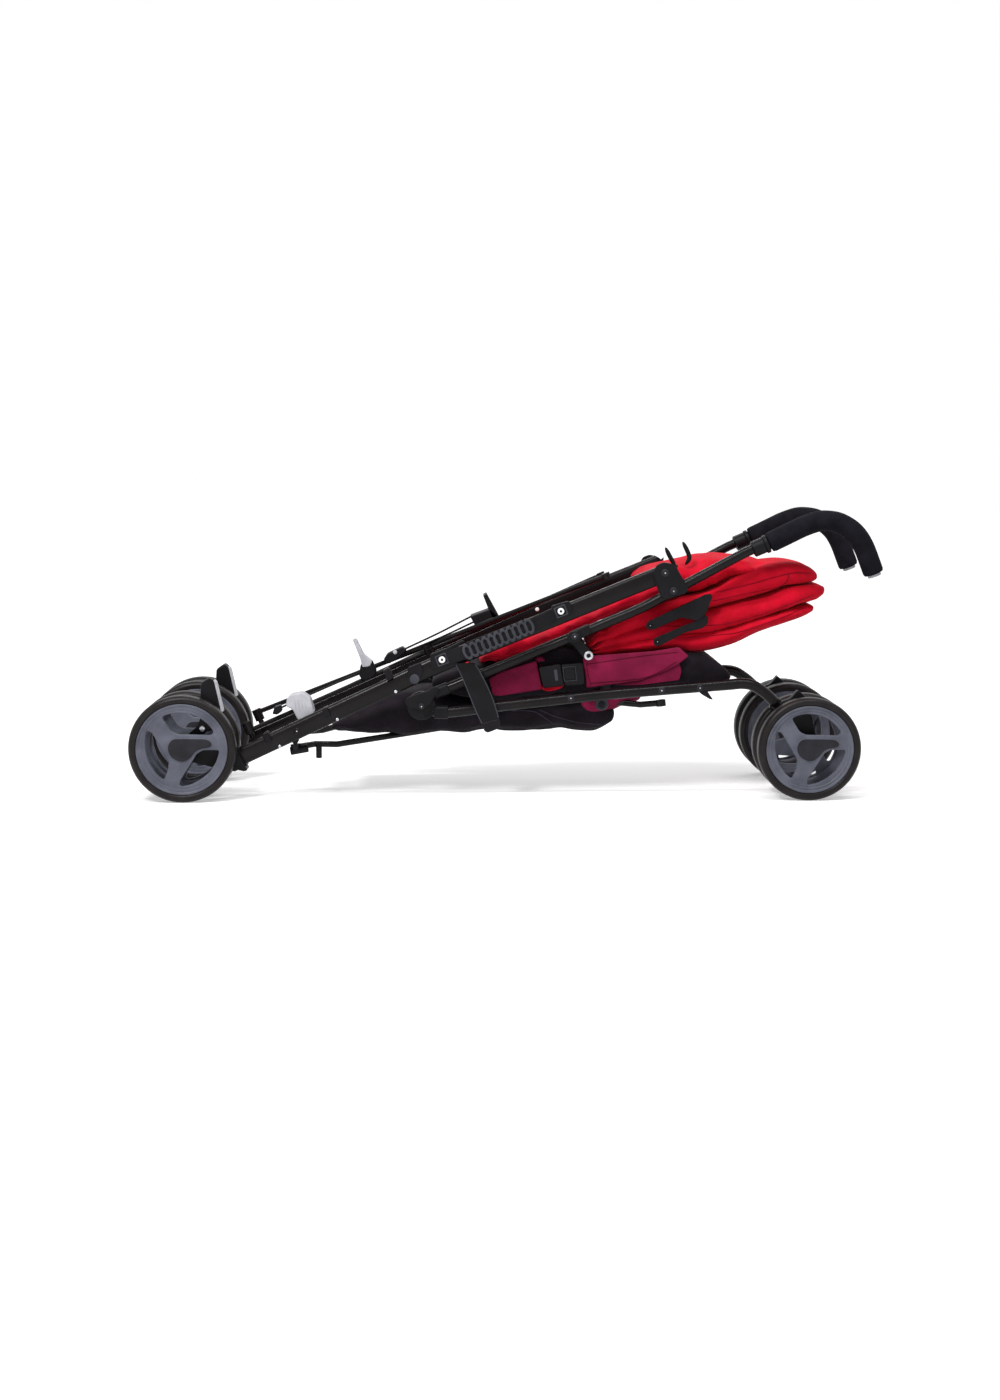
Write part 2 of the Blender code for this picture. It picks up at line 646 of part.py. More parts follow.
def pivot_bracket(side_name, side):
    low = (BRACKET_SCREW_X, handle_height(BRACKET_SCREW_X))
    outer = REAR_TUBE_LAYER + REAR_TUBE_WIDE + SEAT_GAP
    y0, y1 = across(side, outer, outer + PLATE_T)
    corners = [
        polar(TOP_PIVOT, 0.0230, 140),
        polar(TOP_PIVOT, 0.0200, 42),
        polar(low, 0.0200, 14),
        polar(low, 0.0180, -112),
        polar(low, 0.0200, 175),
        polar(TOP_PIVOT, 0.0190, 190),
    ]
    cover = plate(rounded(corners, 0.008), y0, y1)
    saddle_at = at(low, side * (WHEEL_PLANE + outer + 0.001) / 2)
    saddle = box(saddle_at, (0.026, (outer - WHEEL_PLANE) * 2 - 0.012, 0.021), HANDLE_MID_ANGLE)
    tube_cut = rod(
        at(polar(low, -0.05, HANDLE_MID_ANGLE), side * WHEEL_PLANE),
        at(polar(low, 0.05, HANDLE_MID_ANGLE), side * WHEEL_PLANE),
        HANDLE_TUBE_R + SEAT_GAP,
        14,
    )
    bolt = pin(TOP_PIVOT, side * (REAR_TUBE_LAYER - 0.006), y1 + side * 0.002, TOP_PIN_R, 14)
    heads = [pin(place, y1 - side * 0.001, y1 + side * 0.0022, 0.0055, 12) for place in (TOP_PIVOT, low)]
    bracket = join(cover, [saddle])
    bracket = join(bracket, [tube_cut], "DIFFERENCE")
    bracket = join(bracket, [bolt, *heads])
    finish(bracket, "pivot_bracket_" + side_name, BLACK_PLASTIC, "handle_" + side_name)


# Side hinges: a teardrop cheek and a socket on the handle tube's lower end.
HINGE_LAYER = WHEEL_PLANE + FRONT_TUBE_R + SEAT_GAP
HINGE_PIN_R = 0.004


def side_hinge(side_name, side):
    y0, y1 = across(side, HINGE_LAYER, HINGE_LAYER + PLATE_T)
    end = polar(HANDLE[0], 0.004, HANDLE_LOW_ANGLE)
    cheek = plate(link_outline(SIDE_HINGE, 0.0115, end, 0.0085), y0, y1)
    socket_at = at(polar(HANDLE[0], 0.0065, HANDLE_LOW_ANGLE), side * (WHEEL_PLANE + HINGE_LAYER + 0.001) / 2)
    socket_wide = 2 * (HINGE_LAYER - WHEEL_PLANE - 0.0035) + 0.0015
    socket = box(socket_at, (0.0150, socket_wide, 0.0175), HANDLE_LOW_ANGLE)
    bolt = pin(SIDE_HINGE, side * (WHEEL_PLANE - 0.010), y1 + side * 0.002, HINGE_PIN_R, 10)
    tube_cut = rod(
        at(polar(HANDLE[0], -0.0003, HANDLE_LOW_ANGLE), side * WHEEL_PLANE),
        at(polar(HANDLE[0], 0.05, HANDLE_LOW_ANGLE), side * WHEEL_PLANE),
        HANDLE_TUBE_R + SEAT_GAP,
        14,
    )
    hinge = join(cheek, [socket])
    hinge = join(hinge, [tube_cut], "DIFFERENCE")
    finish(join(hinge, [bolt]), "side_hinge_" + side_name, BLACK_PLASTIC, "handle_" + side_name)


# Front legs: a hinge disc, a long thin tube and a bend down to the swivel's king pin.
LATCH_STUD_X = SIDE_HINGE[0] + 0.100
TAB_X = TOP_PIVOT[0] - 0.003


def front_height(x):
    return FRONT_START[1] + (x - FRONT_START[0]) * math.tan(math.radians(FRONT_TUBE_ANGLE))


KING_PIN_R = 0.005
KING_REACH = 0.022


def front_leg(side_name, side):
    y = side * WHEEL_PLANE
    leg = tube([at(p, y) for p in FRONT_PATH], FRONT_TUBE_R)
    disc = pin(SIDE_HINGE, y - side * 0.008, y + side * FRONT_TUBE_R * 0.96, HINGE_DISC_R, 20)
    king_top = polar(FRONT_PATH[-1], -0.004, SWIVEL_ANGLE)
    king = rod(at(king_top, y), at(polar(BARREL_TOP, KING_REACH, SWIVEL_ANGLE), y), KING_PIN_R, 10)
    stop_top = polar(FRONT_PATH[-1], -0.003, SWIVEL_ANGLE)
    stop_end = polar(BARREL_TOP, -0.0005, SWIVEL_ANGLE)
    stop = rod(at(stop_top, y), at(stop_end, y), 0.0105, 14)
    tab_high = (TAB_X, front_height(TAB_X))
    tab_outline = link_outline(tab_high, 0.006, polar(tab_high, 0.012, -90), 0.004)
    tab = plate(tab_outline, y - side * 0.006, y + side * 0.002)
    extras = [disc, king, stop, tab]
    if side_name == "near":
        stud = (LATCH_STUD_X, front_height(LATCH_STUD_X))
        extras.append(pin(stud, y, side * (REAR_TUBE_LAYER + REAR_TUBE_WIDE + 0.008), 0.0035, 10))
    leg = join(leg, extras)
    hole = pin(SIDE_HINGE, y - side * 0.02, y + side * 0.02, HINGE_PIN_R + RUN_GAP, 10)
    leg = join(leg, [hole], "DIFFERENCE")
    finish(leg, "front_leg_" + side_name, BLACK_PAINT, "front_leg_" + side_name)


# Front forks: a moulded body between the wheels that turns on the king pin.
def front_fork(side_name, side):
    y = side * WHEEL_PLANE
    y0, y1 = y - side * HOUSING_WIDE / 2, y + side * HOUSING_WIDE / 2
    barrel_end = polar(BARREL_TOP, SWIVEL_BARREL, SWIVEL_ANGLE)
    barrel = rod(at(BARREL_TOP, y), at(barrel_end, y), 0.0120, 16)
    arm = plate(link_outline(FRONT_AXLE, 0.015, polar(BARREL_TOP, 0.026, SWIVEL_ANGLE), 0.0105), y0, y1)
    peak_foot = polar(BARREL_TOP, 0.012, SWIVEL_ANGLE + 5)
    peak = plate(link_outline(peak_foot, 0.006, polar(BARREL_TOP, 0.018, 20), 0.003), y - 0.004, y + 0.004)
    fork = join(barrel, [arm, peak])
    bore_top = polar(BARREL_TOP, -0.002, SWIVEL_ANGLE)
    bore_end = polar(BARREL_TOP, KING_REACH + 0.0005, SWIVEL_ANGLE)
    bore = rod(at(bore_top, y), at(bore_end, y), KING_PIN_R + RUN_GAP, 10)
    axle_bore = pin(FRONT_AXLE, y0 - 0.01 * side, y1 + 0.01 * side, AXLE_R + RUN_GAP, 12)
    fork = join(fork, [bore, axle_bore], "DIFFERENCE")
    finish(fork, "front_fork_" + side_name, BLACK_PLASTIC, "fork_" + side_name)


# Carry handle: a ribbed strap of moulded plastic, bowed out from the near rear leg.
CARRY_STAND = 0.022
CARRY_THICK = 0.007
CARRY_ENDS = (between(TUBE_MID, TOP_PIVOT, -0.02), between(TUBE_MID, TOP_PIVOT, 0.51))


def carry_handle():
    base = REAR_TUBE_LAYER + REAR_TUBE_WIDE + SEAT_GAP
    a, b = CARRY_ENDS
    run = distance(a, b)
    stand = base + CARRY_STAND
    rise = [(0, base + 0.004), (0.16, base + 0.010), (0.30, stand)]
    shape = rise + [(1 - share, plane) for share, plane in reversed(rise)]
    points = [at(between(a, b, share), -plane) for share, plane in shape]
    strap = flat_tube(points, CARRY_THICK, 0.019, 8)
    ends = [box(at(place, -(base + 0.005)), (0.028, 0.010, 0.026), UPPER_TUBE_ANGLE) for place in (a, b)]
    strap = join(strap, ends)
    trim = box(at(between(a, b, 0.5), -(base - 0.05)), (run + 0.1, 0.10, 0.10), UPPER_TUBE_ANGLE)
    strap = join(strap, [trim], "DIFFERENCE")
    finish(strap, "carry_handle", BLACK_PLASTIC, "rear_leg_near")


# Storage latch: a flat hook on the near rear leg that holds the front leg's stud when folded.
def storage_latch():
    outer = REAR_TUBE_LAYER + REAR_TUBE_WIDE + SEAT_GAP
    y0, y1 = -outer, -(outer + 0.004)
    stud = (LATCH_STUD_X, front_height(LATCH_STUD_X))
    foot = (stud[0] - 0.004, stud[1] - 0.016)
    band = plate(link_outline(LATCH_PIVOT, 0.0135, foot, 0.0125), y0, y1)
    mouth_end = (stud[0] + 0.03, stud[1] - 0.004)
    mouth = plate(link_outline(stud, 0.0035 + RUN_GAP, mouth_end, 0.0030 + RUN_GAP), y0 + 0.01, y1 - 0.01)
    band = join(band, [mouth], "DIFFERENCE")
    pivot_pin = pin(LATCH_PIVOT, y0 + 0.005, y1 + 0.002, TAB_PIN_R, 10)
    finish(join(band, [pivot_pin]), "storage_latch", BLACK_PLASTIC, "storage_latch")


# Lower cross braces: two round rods that cross under the seat, each on a tab below a rear leg.
TAB_WIDE = 0.008
BRACE_LEFT_DROP = 0.026
BRACE_FRONT_DROP = 0.0222
BRACE_FRONT_INSET = 0.020


def brace_ends(side):
    low_y = side * (REAR_TUBE_LAYER - 0.0085)
    left = Vector((LOWER_TAB[0] - 0.003, low_y, LOWER_TAB[1] - BRACE_LEFT_DROP))
    right = Vector((TAB_X, -side * (WHEEL_PLANE - BRACE_FRONT_INSET), front_height(TAB_X) - BRACE_FRONT_DROP))
    return left, right


def brace_normal():
    left, right = brace_ends(-1)
    far_left, far_right = brace_ends(1)
    normal = (right - left).cross(far_right - far_left).normalized()
    return normal if normal.z > 0 else -normal


BRACE_LIFT = LOWER_ROD_R + 0.0008


def lower_tab(side_name, side):
    layer = REAR_TUBE_LAYER - 0.0004
    left, _ = brace_ends(side)
    y0, y1 = across(side, layer - TAB_WIDE, layer)
    low = (left.x, left.z + 0.0103)
    tab = plate(link_outline(LOWER_TAB, 0.0070, low, 0.0050), y0, y1)
    hole = pin(LOWER_TAB, y0 - 0.01 * side, y1 + 0.01 * side, TAB_PIN_R + RUN_GAP, 10)
    tab = join(tab, [hole], "DIFFERENCE")
    up = brace_normal()
    stem = rod(left - up * 0.006, left + up * 0.009, 0.0022, 10)
    finish(join(tab, [stem]), "lower_tab_" + side_name, BLACK_PLASTIC, "lower_tab_" + side_name)


def lower_brace(side_name, side):
    left, right = brace_ends(side)
    up = brace_normal()
    lift = up * BRACE_LIFT * side
    along = (right - left).normalized()
    step = along * 0.030
    route = [left, left + step, left + step * 2 + lift, right - step * 2 + lift, right - step, right]
    bar = tube([tuple(p) for p in route], LOWER_ROD_R)
    eyes = [rod(place - up * 0.0045, place + up * 0.0045, 0.0070, 12) for place in (left, right)]
    bar = join(bar, eyes)
    hole = rod(left - up * 0.02, left + up * 0.02, 0.0022 + RUN_GAP, 10)
    finish(join(bar, [hole], "DIFFERENCE"), "lower_brace_" + side_name, BLACK_PAINT, "lower_brace_" + side_name)


# Back cross braces: two thinner rods above the rear legs, that cross at two bosses in the middle.
def back_brace(side_name, side):
    start, end = back_ends(side)
    up = back_normal()
    lift = up * BACK_STEP * side
    bar = rod(start + lift, end + lift, BACK_ROD_R, 10)
    eye = rod(start - up * (0.0085 - SEAT_GAP), start + up * 0.009, 0.0070, 12)
    foot = rod(start - up * (BACK_FOOT_LONG + 0.003), start - up * 0.003, BACK_FOOT_R, 10)
    tip = rod(end + lift - up * 0.004, end + lift + up * 0.004, 0.0060, 12)
    middle = (start + end) / 2
    rub = SEAT_GAP / 2
    boss = rod(middle + up * side * rub, middle + up * side * (BACK_STEP + BACK_ROD_R), BACK_BOSS_R, 14)
    bar = join(bar, [eye, foot, tip, boss])
    finish(bar, "back_brace_" + side_name, BLACK_PAINT, "back_brace_" + side_name)


# Foot pedals of the fold lock, on the near back brace.
# Each has its share along the brace, its width, lean, height, lower and upper radius, and its plastic.
PEDALS = {
    "fold_pedal": (0.14, 0.030, -0.012, 0.0300, 0.0058, 0.0080, GREY_PLASTIC),
    "release_pedal": (0.30, 0.012, -0.010, 0.0400, 0.0058, 0.0040, GREY_PLASTIC),
    "release_foot": (0.60, 0.040, 0.006, 0.0400, 0.0060, 0.0035, BLACK_PLASTIC),
}


def pedal_low(name):
    """The pedal's own axis, just above the brace."""
    share, _, _, _, low_r, _, _ = PEDALS[name]
    start, end = back_ends(-1)
    up = back_normal()
    return start + (end - start) * share - up * BACK_STEP + up * (BACK_ROD_R + SEAT_GAP + low_r)


PEDAL_LOWS = {name: pedal_low(name) for name in PEDALS}


def fold_pedals():
    for name, (_, width, lean, tall, low_r, high_r, plastic) in PEDALS.items():
        low = PEDAL_LOWS[name]
        outline = link_outline((low.x, low.z), low_r, (low.x + lean, low.z + tall - low_r), high_r)
        pedal = plate(outline, low.y - width / 2, low.y + width / 2)
        finish(pedal, name, plastic, name)


# Canopy: clamps on the handle tubes, flat bow levers and the folded cloth between them.
CANOPY_BACK = 0.107
CANOPY_BELOW = 0.036
CANOPY_X = TOP_PIVOT[0] - CANOPY_BACK
CANOPY_PIVOT = (CANOPY_X, handle_height(CANOPY_X) - CANOPY_BELOW)
CANOPY_PIN_R = 0.003
LEVER_LAYER = 0.0805
CANOPY_HALF = LEVER_LAYER - SEAT_GAP
CANOPY_FANS = ((0.094, 13, 0.0055, 0.170, 17, 0.0130), (0.090, 26, 0.0060, 0.172, 25.5, 0.0150))


def canopy_mount(side_name, side):
    x = CANOPY_PIVOT[0] - 0.008
    clamp_at = (x, handle_height(x))
    y = side * WHEEL_PLANE
    clamp = box(at(clamp_at, y), (0.030, 0.0200, 0.0190), HANDLE_LOW_ANGLE)
    arm_outline = link_outline(clamp_at, 0.0085, CANOPY_PIVOT, 0.0065)
    arm = plate(arm_outline, side * (WHEEL_PLANE - 0.006), side * (WHEEL_PLANE - 0.001))
    mount = join(clamp, [arm])
    bore_ends = [at(polar(clamp_at, reach, HANDLE_LOW_ANGLE), y) for reach in (-0.05, 0.05)]
    bore = rod(*bore_ends, HANDLE_TUBE_R + SEAT_GAP, 14)
    mount = join(mount, [bore], "DIFFERENCE")
    post = pin(CANOPY_PIVOT, side * (WHEEL_PLANE - 0.004), side * (LEVER_LAYER - 0.001), CANOPY_PIN_R, 10)
    finish(join(mount, [post]), "canopy_mount_" + side_name, BLACK_PLASTIC, "handle_" + side_name)


def canopy_lever(side_name, side):
    y0, y1 = across(side, LEVER_LAYER, LEVER_LAYER + 0.0045)
    arm = plate(link_outline(CANOPY_PIVOT, 0.0075, polar(CANOPY_PIVOT, 0.098, 24), 0.0070), y0, y1)
    fans = []
    for root_reach, root_angle, root_r, tip_reach, tip_angle, tip_r in CANOPY_FANS:
        root = polar(CANOPY_PIVOT, root_reach, root_angle)
        tip = polar(CANOPY_PIVOT, tip_reach, tip_angle)
        fans.append(plate(link_outline(root, root_r, tip, tip_r), y0, y1))
    lever = join(arm, fans)
    hole = pin(CANOPY_PIVOT, y0 - side * 0.01, y1 + side * 0.01, CANOPY_PIN_R + RUN_GAP, 10)
    finish(join(lever, [hole], "DIFFERENCE"), "canopy_lever_" + side_name, BLACK_PLASTIC, "canopy_" + side_name)


def shifted(corners, origin):
    return [(origin[0] + x, origin[1] + z) for x, z in corners]


def canopy_cloth():
    corners = [
        (0.010, -0.006),
        (0.020, 0.026),
        (0.070, 0.062),
        (0.075, 0.112),
        (0.130, 0.134),
        (0.200, 0.141),
        (0.300, 0.130),
        (0.330, 0.106),
        (0.334, 0.082),
        (0.312, 0.054),
        (0.262, 0.036),
        (0.205, 0.010),
        (0.150, 0.004),
        (0.080, 0.006),
    ]
    cloth = plate(rounded(shifted(corners, CANOPY_PIVOT), 0.012, 1), -CANOPY_HALF, CANOPY_HALF)
    finish(cloth, "canopy_cloth", RED_CLOTH, "canopy_near")


# Seat cloth: backrest between the legs and handles, folded seat panels, buckle and basket.
SEAT_HALF = 0.078
BACKREST_HALF = WHEEL_PLANE - HANDLE_TUBE_R - SEAT_GAP
BACKREST_FROM = 0.068
BACKREST_TO = CANOPY_PIVOT[0] - 0.0275
BACKREST_OVER = 0.002


def backrest():
    top, low = [], []
    for share in (0.0, 0.34, 0.67, 1.0):
        x = SIDE_HINGE[0] + BACKREST_FROM
        x += share * (BACKREST_TO - x)
        low.append((x, handle_height(x) + BACKREST_OVER))
        top.append((x, leg_height(x) + 0.006))
    cloth = plate(low + top[::-1], -BACKREST_HALF, BACKREST_HALF)
    finish(cloth, "backrest_cloth", RED_CLOTH, "handle_near")


SEAT_LOW = (*shifted([(0.078, 0.024), (0.185, 0.028)], SIDE_HINGE), *shifted([(0.145, -0.030)], CANOPY_PIVOT))


def seat_underside(x):
    """Height of the seat cloth's long lower edge at x."""
    a, b = SEAT_LOW[1], SEAT_LOW[2]
    return a[1] + (b[1] - a[1]) * (x - a[0]) / (b[0] - a[0])


def seat_panels():
    outline = [*SEAT_LOW, *shifted([(0.150, -0.008), (0.0, -0.010), (-0.060, -0.002)], CANOPY_PIVOT)]
    for reach in (0.048, 0.010):
        x = SIDE_HINGE[0] + BACKREST_FROM + reach
        outline.append((x, handle_height(x) + BACKREST_OVER - SEAT_GAP * 1.5))
    cloth = plate(rounded(outline, 0.006, 1), -SEAT_HALF, SEAT_HALF)
    finish(cloth, "seat_cloth", MAROON_CLOTH, "handle_near")


BUCKLE_BACK = 0.0364
BUCKLE_BELOW = 0.0289
BUCKLE = (CANOPY_PIVOT[0] - BUCKLE_BACK, CANOPY_PIVOT[1] - BUCKLE_BELOW)
BUCKLE_LAYER = SEAT_HALF + 0.0006
BUCKLE_THICK = 0.0120
BUCKLE_PRESS = 0.002


def buckle():
    y0, y1 = -BUCKLE_LAYER, -(BUCKLE_LAYER + BUCKLE_THICK)
    half = 0.0150
    left, right = (BUCKLE[0] - half - SEAT_GAP, BUCKLE[1]), (BUCKLE[0] + half + SEAT_GAP, BUCKLE[1])

    def square(centre, wide, high, radius=0.005):
        corners = [(-wide, -high), (wide, -high), (wide, high), (-wide, high)]
        return rounded(shifted(corners, centre), radius)

    tongue = plate(square(left, half, 0.0155), y0, y1)
    slot = plate(square((left[0] + 0.007, left[1]), 0.002, 0.008, 0.001), y0 + 0.01, y1 - 0.01)
    finish(join(tongue, [slot], "DIFFERENCE"), "buckle_tongue", BLACK_PLASTIC, "handle_near")
    socket = plate(square(right, half, 0.0160), y0, y1)
    well = plate(square(right, 0.0080 + RUN_GAP, 0.0080 + RUN_GAP, 0.002), y0 - 0.005, y1 - 0.01)
    finish(join(socket, [well], "DIFFERENCE"), "buckle_socket", BLACK_PLASTIC, "handle_near")
    button = plate(square(right, 0.0080, 0.0080, 0.002), y0 - 0.005 - BUCKLE_PRESS - SEAT_GAP, y1 - 0.001)
    finish(button, "buckle_button", BLACK_PLASTIC, "buckle_button")


BASKET_HALF = 0.070
BASKET_THICK = 0.014
BASKET_INSET = 0.045
BASKET_SHORT = 0.113


def basket_height(x, lift):
    """Height at x of a line that lies above the crossed braces by lift more than they need."""
    left, right = brace_ends(-1)
    slope = (right.z - left.z) / (right.x - left.x)
    clear = (BRACE_LIFT + LOWER_ROD_R + SEAT_GAP) * math.hypot(1, slope)
    return left.z + (x - left.x) * slope + clear + lift


def basket():
    left, right = brace_ends(-1)
    a, b = left.x + BASKET_INSET, right.x - BASKET_SHORT
    outline = [(a, 0), (b, 0), (b, BASKET_THICK), (a + 0.06, BASKET_THICK)]
    corners = [(x, basket_height(x, lift)) for x, lift in outline]
    floor = plate(corners, -BASKET_HALF, BASKET_HALF)
    finish(floor, "basket_cloth", BASKET_CLOTH, "lower_tab_near")


# Buttons: the fold lock on the near leg and the seat adjuster.
def lock_button():
    outer = REAR_TUBE_LAYER + REAR_TUBE_WIDE
    button = pin(LOCK_PLACE, -(outer - 0.0042), -(outer + 0.006), LOCK_R, 16)
    finish(button, "lock_button", GREY_PLASTIC, "lock_button")


KNOB_X = SIDE_HINGE[0] + 0.262
KNOB = (KNOB_X, basket_height(KNOB_X, BASKET_THICK + 0.0008))
KNOB_TALL = seat_underside(KNOB_X) - 0.0009 - KNOB[1]


def seat_knob():
    y0 = -(SEAT_HALF - 0.012)
    stem = rod((KNOB[0], y0, KNOB[1]), (KNOB[0], y0, KNOB[1] + KNOB_TALL), 0.0085, 14, 0.0065)
    finish(stem, "seat_knob", GREY_PLASTIC, "seat_knob")


# Axes of the small moving pieces.
for side_name, side in SIDES:
    left_end, _ = brace_ends(side)
    back_start, _ = back_ends(side)
    tab_parent = "rear_leg_near" if side_name == "near" else "lower_tab_near"
    holder("brake_pedal_" + side_name, PEDAL_PIVOT, side * WHEEL_PLANE, "rear_leg_" + side_name)
    holder("lower_tab_" + side_name, LOWER_TAB, side * WHEEL_PLANE, tab_parent)
    holder("lower_brace_" + side_name, (left_end.x, left_end.z), left_end.y, "lower_tab_" + side_name)
    holder("back_brace_" + side_name, (back_start.x, back_start.z), back_start.y, "rear_leg_" + side_name)
    canopy_parent = "handle_near" if side_name == "near" else "canopy_near"
    holder("canopy_" + side_name, CANOPY_PIVOT, side * WHEEL_PLANE, canopy_parent)
for pedal_name, pedal_axis in PEDAL_LOWS.items():
    holder(pedal_name, (pedal_axis.x, pedal_axis.z), pedal_axis.y, "back_brace_near")
holder("storage_latch", LATCH_PIVOT, -REAR_LEG_PLANE, "rear_leg_near")
holder("lock_button", LOCK_PLACE, -REAR_LEG_PLANE, "rear_leg_near")
holder("buckle_button", BUCKLE, -BUCKLE_LAYER, "handle_near")
holder("seat_knob", KNOB, -SEAT_HALF, "handle_near")

add_wheels()
for side_name, side in SIDES:
    rear_leg(side_name, side)
    rear_housing(side_name, side)
    brake_pedal(side_name, side)
    handle(side_name, side)
    pivot_bracket(side_name, side)
    side_hinge(side_name, side)
    front_leg(side_name, side)
    front_fork(side_name, side)
    lower_tab(side_name, side)
    lower_brace(side_name, side)
    back_brace(side_name, side)
    canopy_mount(side_name, side)
    canopy_lever(side_name, side)
carry_handle()
storage_latch()
fold_pedals()
canopy_cloth()
backrest()
seat_panels()
buckle()
basket()
lock_button()
seat_knob()
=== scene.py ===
import math

import bmesh
import bpy
from mathutils import Matrix, Vector, noise
from mathutils.bvhtree import BVHTree
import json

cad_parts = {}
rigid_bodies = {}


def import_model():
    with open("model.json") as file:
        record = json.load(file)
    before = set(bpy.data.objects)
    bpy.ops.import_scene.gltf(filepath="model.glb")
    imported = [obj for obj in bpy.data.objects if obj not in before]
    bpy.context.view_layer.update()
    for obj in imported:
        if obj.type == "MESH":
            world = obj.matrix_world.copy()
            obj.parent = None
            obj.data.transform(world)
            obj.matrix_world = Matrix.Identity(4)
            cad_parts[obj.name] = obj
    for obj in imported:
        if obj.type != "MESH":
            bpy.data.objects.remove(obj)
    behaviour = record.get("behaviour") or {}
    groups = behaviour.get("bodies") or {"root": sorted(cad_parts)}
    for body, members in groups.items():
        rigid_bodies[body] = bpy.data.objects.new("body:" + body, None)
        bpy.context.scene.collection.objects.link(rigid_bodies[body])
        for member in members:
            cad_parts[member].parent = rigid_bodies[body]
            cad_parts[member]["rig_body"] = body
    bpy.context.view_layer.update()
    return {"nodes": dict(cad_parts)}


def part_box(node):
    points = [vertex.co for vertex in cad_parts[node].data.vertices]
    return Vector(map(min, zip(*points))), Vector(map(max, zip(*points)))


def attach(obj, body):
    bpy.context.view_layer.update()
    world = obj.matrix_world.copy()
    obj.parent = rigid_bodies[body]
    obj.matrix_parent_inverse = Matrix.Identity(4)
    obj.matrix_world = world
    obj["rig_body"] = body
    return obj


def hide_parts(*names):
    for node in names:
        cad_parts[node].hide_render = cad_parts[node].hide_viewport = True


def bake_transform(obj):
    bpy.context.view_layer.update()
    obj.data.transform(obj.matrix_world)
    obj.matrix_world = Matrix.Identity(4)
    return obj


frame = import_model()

# Camera: three metres off the near side and at sitting height, looking slightly down and to the right.
# The photograph is taken as 1000 by 1400, with its long side on a 36 mm sensor.
SENSOR_MM = 36.0
LENS_MM = 54.7
CAMERA_PLACE = (-0.0755, -3.073, 0.484)
DOWN_DEGREES = 6.61
RIGHT_DEGREES = 1.23
camera_data = bpy.data.cameras.new("camera")
camera_data.sensor_fit = "VERTICAL"
camera_data.sensor_height = SENSOR_MM
camera_data.lens = LENS_MM
camera = bpy.data.objects.new("camera", camera_data)
bpy.context.scene.collection.objects.link(camera)
camera.location = CAMERA_PLACE
camera.rotation_euler = (math.radians(90 - DOWN_DEGREES), 0, math.radians(-RIGHT_DEGREES))
bpy.context.scene.camera = camera

# Wheels: eight small wheels, two on each axle; both rows have the same hub, with a darker cap on its face.
# The tyre is foam rubber moulded round the rim, the hub glass-filled nylon moulded in one piece with three
# windows round its boss, and the cap a plastic moulding that is clipped over the end of the axle.
SIDES = (("near", -1), ("far", 1))  # near is the side with the carry handle, far its mirror image
ENDS = ("rear", "front")
WHEEL_R = {end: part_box(end + "_outer_tyre_near")[1].z / 2 for end in ENDS}
TYRE_DEPTH = 0.0115
TYRE_HALF = 0.013
SHOULDER_DEEP = 0.0068
SHOULDER_WIDE = 0.0075
GROOVE_DEPTH = 0.0007
HUB_HALF = 0.0124
HUB_STEPS = 96
FRONT_INNER_TURN = 62  # degrees that the inner front wheels stand turned from the outer ones
# The hub face: its three windows and its cap's outline, in shares of the wheel's radius, seen from outside.
WINDOWS = (
    (
        (-0.36, 0.606), (-0.257, 0.658), (-0.086, 0.692), (0.137, 0.675), (0.325, 0.606), (0.497, 0.469),
        (0.60, 0.332), (0.55, 0.268), (-0.08, 0.282), (-0.205, 0.349), (-0.291, 0.486),
    ),
    (
        (-0.65, 0.349), (-0.556, 0.332), (-0.24, -0.199), (-0.257, -0.37), (-0.342, -0.575), (-0.479, -0.455),
        (-0.60, -0.267), (-0.668, -0.027), (-0.676, 0.178),
    ),
    (
        (0.685, -0.01), (0.394, -0.01), (0.274, -0.079), (0.154, -0.284), (-0.034, -0.575), (-0.051, -0.661),
        (-0.017, -0.695), (0.154, -0.661), (0.325, -0.575), (0.514, -0.421), (0.634, -0.233), (0.685, -0.079),
    ),
)
CAP = (
    (-0.154, 0.204), (0.15, 0.203), (0.462, 0.195), (0.548, 0.144), (0.556, 0.075), (0.497, 0.041),
    (0.36, 0.024), (0.257, -0.027), (0.171, -0.147), (0.068, -0.216), (-0.051, -0.224), (-0.188, -0.147),
    (-0.257, -0.01), (-0.24, 0.11),
)


def linear(colour):
    """An sRGB hex colour as linear RGBA."""
    parts = [int(colour[i : i + 2], 16) / 255 for i in (0, 2, 4)]
    return [c / 12.92 if c <= 0.04045 else ((c + 0.055) / 1.055) ** 2.4 for c in parts] + [1.0]


def add_node(tree, kind, links=None, **settings):
    """A shader node: each setting is the value of an input or property, each link an output for an input."""
    made = tree.nodes.new(kind)
    for name, value in settings.items():
        if name in made.inputs:
            made.inputs[name].default_value = value
        else:
            setattr(made, name, value)
    for name, source in (links or {}).items():
        tree.links.new(source, made.inputs[name])
    return made


def new_material(name, roughness=0.5, specular=0.5):
    """A plain material with its shader and the object-space point that the patterns are laid on."""
    made = bpy.data.materials.new(name)
    made.use_nodes = True
    tree = made.node_tree
    shader = tree.nodes["Principled BSDF"]
    shader.inputs["Roughness"].default_value = roughness
    shader.inputs["Specular IOR Level"].default_value = specular
    point = add_node(tree, "ShaderNodeTexCoord").outputs["Object"]
    return made, tree, shader, point


